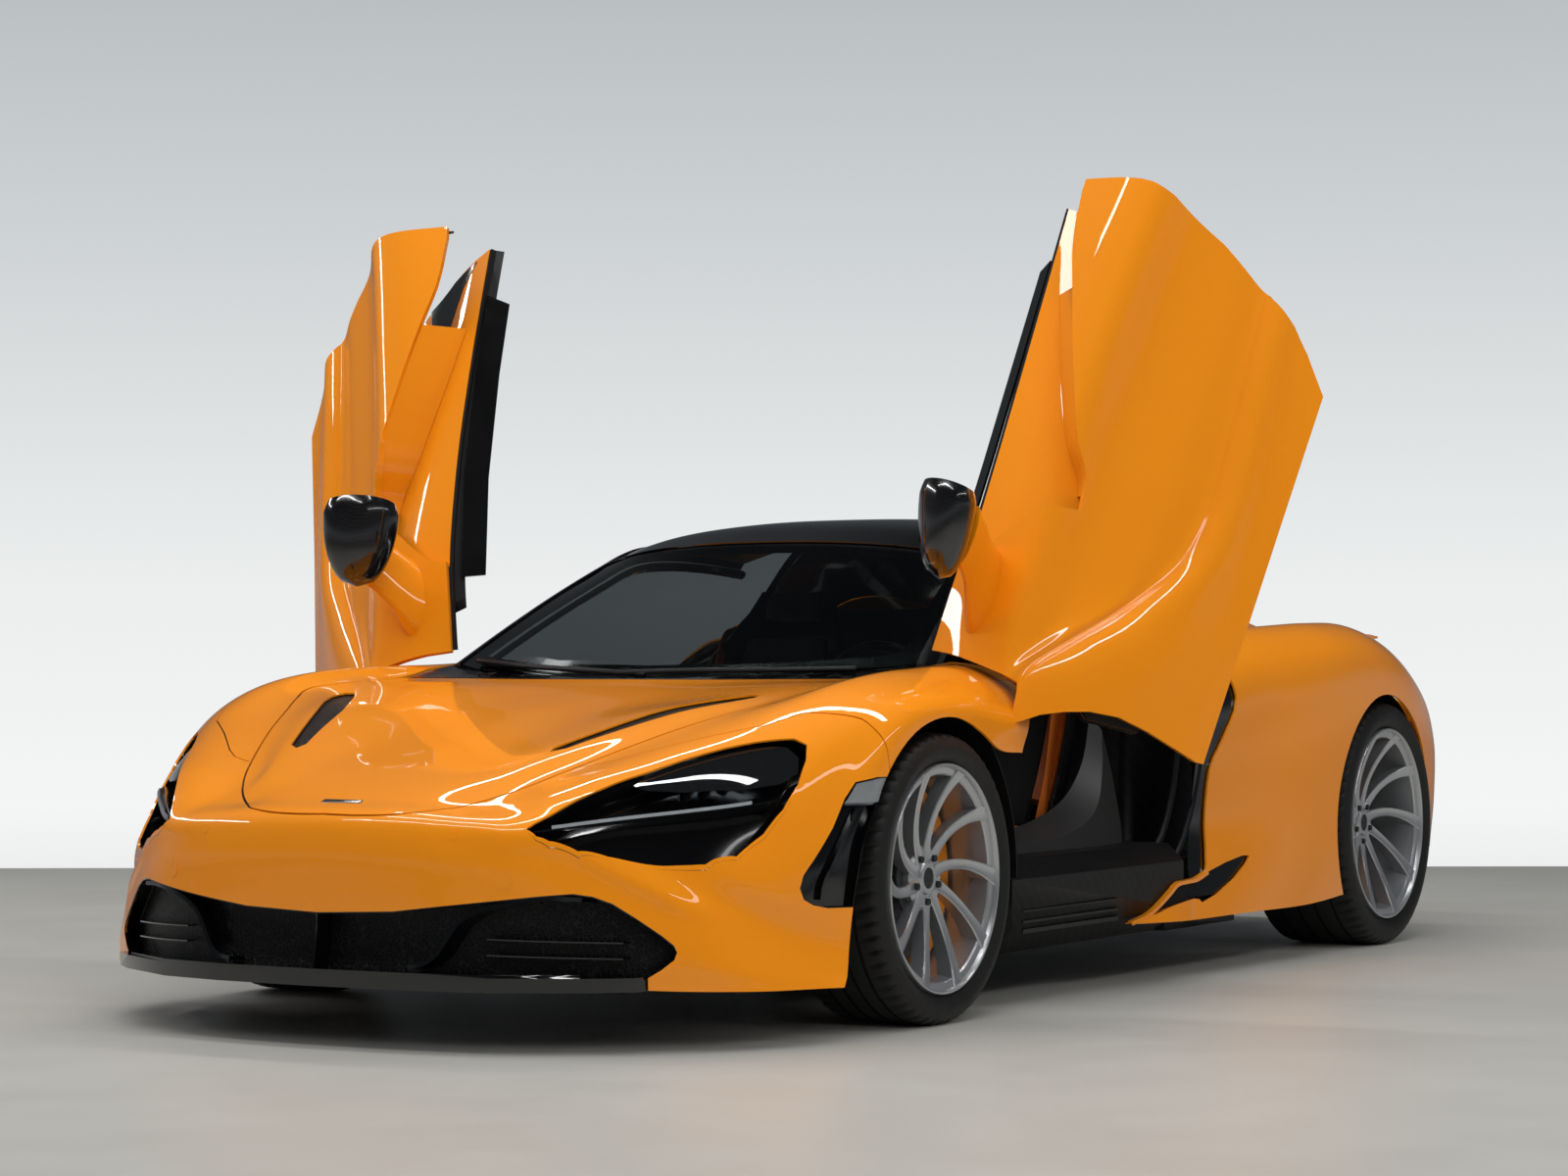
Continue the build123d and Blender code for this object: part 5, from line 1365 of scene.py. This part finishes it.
def cushion(name, rows, material):
    """Foam pad under a cover, lofted through rings of points in millimetres."""
    bm = bmesh.new()
    loft(bm, rows)
    bmesh.ops.subdivide_edges(bm, edges=bm.edges, cuts=2, use_grid_fill=True)
    smoothed(bm, bm.verts, 5)
    made = show(bm, name, material)
    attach(made, "car_body")


def square_to(spine):
    """Unit normal at each point of a (y, z) line."""
    out = []
    for (ya, za), (yb, zb) in zip(spine[:1] + spine, spine[1:] + spine[-1:]):
        long = sqrt((yb - ya) ** 2 + (zb - za) ** 2)
        out.append((-(zb - za) / long, (yb - ya) / long))
    return out


def slab(x, widths, spine, thick):
    """Rings across a seat pad that follows a (y, z) spine, with half widths and one thickness."""
    rows = []
    for (y, z), (ny, nz), w in zip(spine, square_to(spine), widths):
        across = ((-1, 0), (-1, 1), (-0.4, 0.8), (0.4, 0.8), (1, 1), (1, 0))
        rows.append([(x + w * side, y + ny * up * thick, z + nz * up * thick) for side, up in across])
    return rows


SEAT_SPINE = [(-425, 318), (-300, 300), (-100, 282), (60, 280), (160, 330), (225, 450), (290, 620),
                (345, 800), (385, 930), (405, 1000)]
SEAT_WIDTHS = (215, 222, 228, 230, 230, 230, 228, 200, 130, 110)
SEAT_WINGS = (70, 80, 90, 110, 130, 120, 110, 90, 40, 20)
BELT = [(215, 470, 900), (195, 340, 880), (185, 250, 700), (200, 160, 500), (222, 60, 380), (232, 0, 250)]
for hand, x in (("left", 350), ("right", -350)):
    bm = bmesh.new()
    rows = []
    for (y, z), (ny, nz), w, wing in zip(SEAT_SPINE, square_to(SEAT_SPINE), SEAT_WIDTHS, SEAT_WINGS):
        across = ((-1, wing), (-0.98, wing * 0.45), (-0.8, 0), (-0.4, -12), (0, -14), (0.4, -12), (0.8, 0),
                  (0.98, wing * 0.45), (1, wing))
        rows.append([bm.verts.new(Vector((x + side * w, y + ny * up, z + nz * up)) / 1000)
                     for side, up in across])
    for one, two in zip(rows, rows[1:]):
        for j in range(8):
            bm.faces.new((one[j], one[j + 1], two[j + 1], two[j]))
    bmesh.ops.recalc_face_normals(bm, faces=bm.faces)
    bmesh.ops.subdivide_edges(bm, edges=bm.edges, cuts=2, use_grid_fill=True)
    smoothed(bm, [v for v in bm.verts if not v.is_boundary], 3)
    bmesh.ops.solidify(bm, geom=list(bm.faces), thickness=-0.008)
    shell = show(bm, f"seat_shell_{hand}", carbon)
    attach(shell, "car_body")
    if hand == "left":
        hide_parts("seats")
    base = [(-405, 322), (-280, 304), (-120, 288), (30, 284)]
    back = [(150, 345), (215, 470), (278, 630), (330, 780), (362, 880)]
    head = [(372, 905), (392, 965), (402, 1000)]
    cushion(f"seat_base_{hand}", slab(x, [150] * 4, base, 52), suede)
    cushion(f"seat_back_{hand}", slab(x, [140, 148, 150, 145, 130], back, 48), suede)
    cushion(f"head_pad_{hand}", slab(x, [90, 95, 85], head, 40), suede)
    for side in (-1, 1):
        base = [(-390, 345), (-240, 330), (-80, 325), (60, 335)]
        back = [(165, 400), (225, 500), (285, 640), (330, 760)]
        cushion(f"seat_bolster_{hand}_{side + 2}", slab(x + side * 182, [30] * 4, base, 62), orange_hide)
        cushion(f"back_bolster_{hand}_{side + 2}", slab(x + side * 180, [28] * 4, back, 74), orange_hide)

    out = 1 if x > 0 else -1
    bm = bmesh.new()
    line = curve([(x + out * aside, y, z) for aside, y, z in BELT], 6, [130, 200, 210, 150, 140])
    strip(bm, line, (out * -4, -44, 8), 1.6)
    belt_strap = show(bm, f"belt_{hand}", webbing)
    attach(belt_strap, "car_body")


# ---- Door openings ---------------------------------------------------------------------
# Rubber seals pressed on the flange round each opening, a padded inner sill beside the
# seat, and a slotted black sill strip under it.
sill_hide = coating("black_leather_sill", 3.0, "232323", "2E2E2D", 5.0, bump=(1.6, 0.15), Roughness=0.48)
INNER_SEAL = [(-690, 420), (-640, 330), (-520, 296), (-200, 290), (60, 300), (190, 345), (268, 450),
              (310, 580), (330, 690)]
OUTER_SEAL = [(-560, 262), (-300, 256), (40, 262), (200, 300), (300, 400), (360, 520), (400, 640),
              (420, 700)]
for name, x, radius, line in (("inner_seals", 836, 9, INNER_SEAL), ("outer_seals", 872, 8, OUTER_SEAL)):
    bm = bmesh.new()
    path = curve([(x, y, z) for y, z in line], 6, [120] * (len(line) - 1))
    tube(bm, path, [radius] * len(path), 8)
    seals = twins(bm, name, rubber_seal)
    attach(seals, "car_body")

bm = bmesh.new()
for z, deep in ((172, 10), (196, 6), (222, 4)):
    web(bm, [(908, -720, z), (908, -200, z)], [(908, -720, z + deep), (908, -200, z + deep)], 2.0)
steps = twins(bm, "sill_steps", satin_black)
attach(steps, "car_body")

PAD_TOP = [(640, -560, 360), (640, -350, 385), (645, -150, 410), (640, 40, 460), (630, 170, 550),
            (620, 235, 670)]
PAD_MID = [(755, -560, 352), (762, -350, 368), (762, -150, 386), (730, 40, 430), (684, 175, 512),
           (648, 250, 630)]
PAD_LOW = [(800, -560, 300), (806, -350, 300), (808, -150, 304), (790, 40, 316), (742, 170, 368),
           (672, 262, 515)]
bm = bmesh.new()
top, mid, low = [curve(line, 6, [200] * 5) for line in (PAD_TOP, PAD_MID, PAD_LOW)]
web(bm, top, mid, 4.0)
web(bm, mid, low, 4.0)
bmesh.ops.remove_doubles(bm, verts=bm.verts, dist=1e-5)
pads = twins(bm, "inner_sill_pads", sill_hide)
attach(pads, "car_body")


# ---- Chassis and running gear ---------------------------------------------------------
# Plain structure that mostly stays out of sight: aluminium crash frames, forged arms and
# uprights, moulded liners and undertray, and the engine block.
cast_grey = coating("cast_aluminium", 24.0, "4A4C4E", "5E6062", 5.0, bump=(1.5, 0.1), Metallic=0.8,
                    Roughness=0.5)
for name in ("front_frame", "rear_frame", "engine", "front_wishbones", "rear_wishbones", "rear_uprights"):
    from_cad(name, cast_grey, "car_body")
from_cad("front_left_knuckle", cast_grey, "knuckle_left")
from_cad("front_right_knuckle", cast_grey, "knuckle_right")
for name in ("arch_liners", "undertray", "front_trunk"):
    from_cad(name, rubber_seal, "car_body")
from_cad("cowl", satin_black, "car_body")
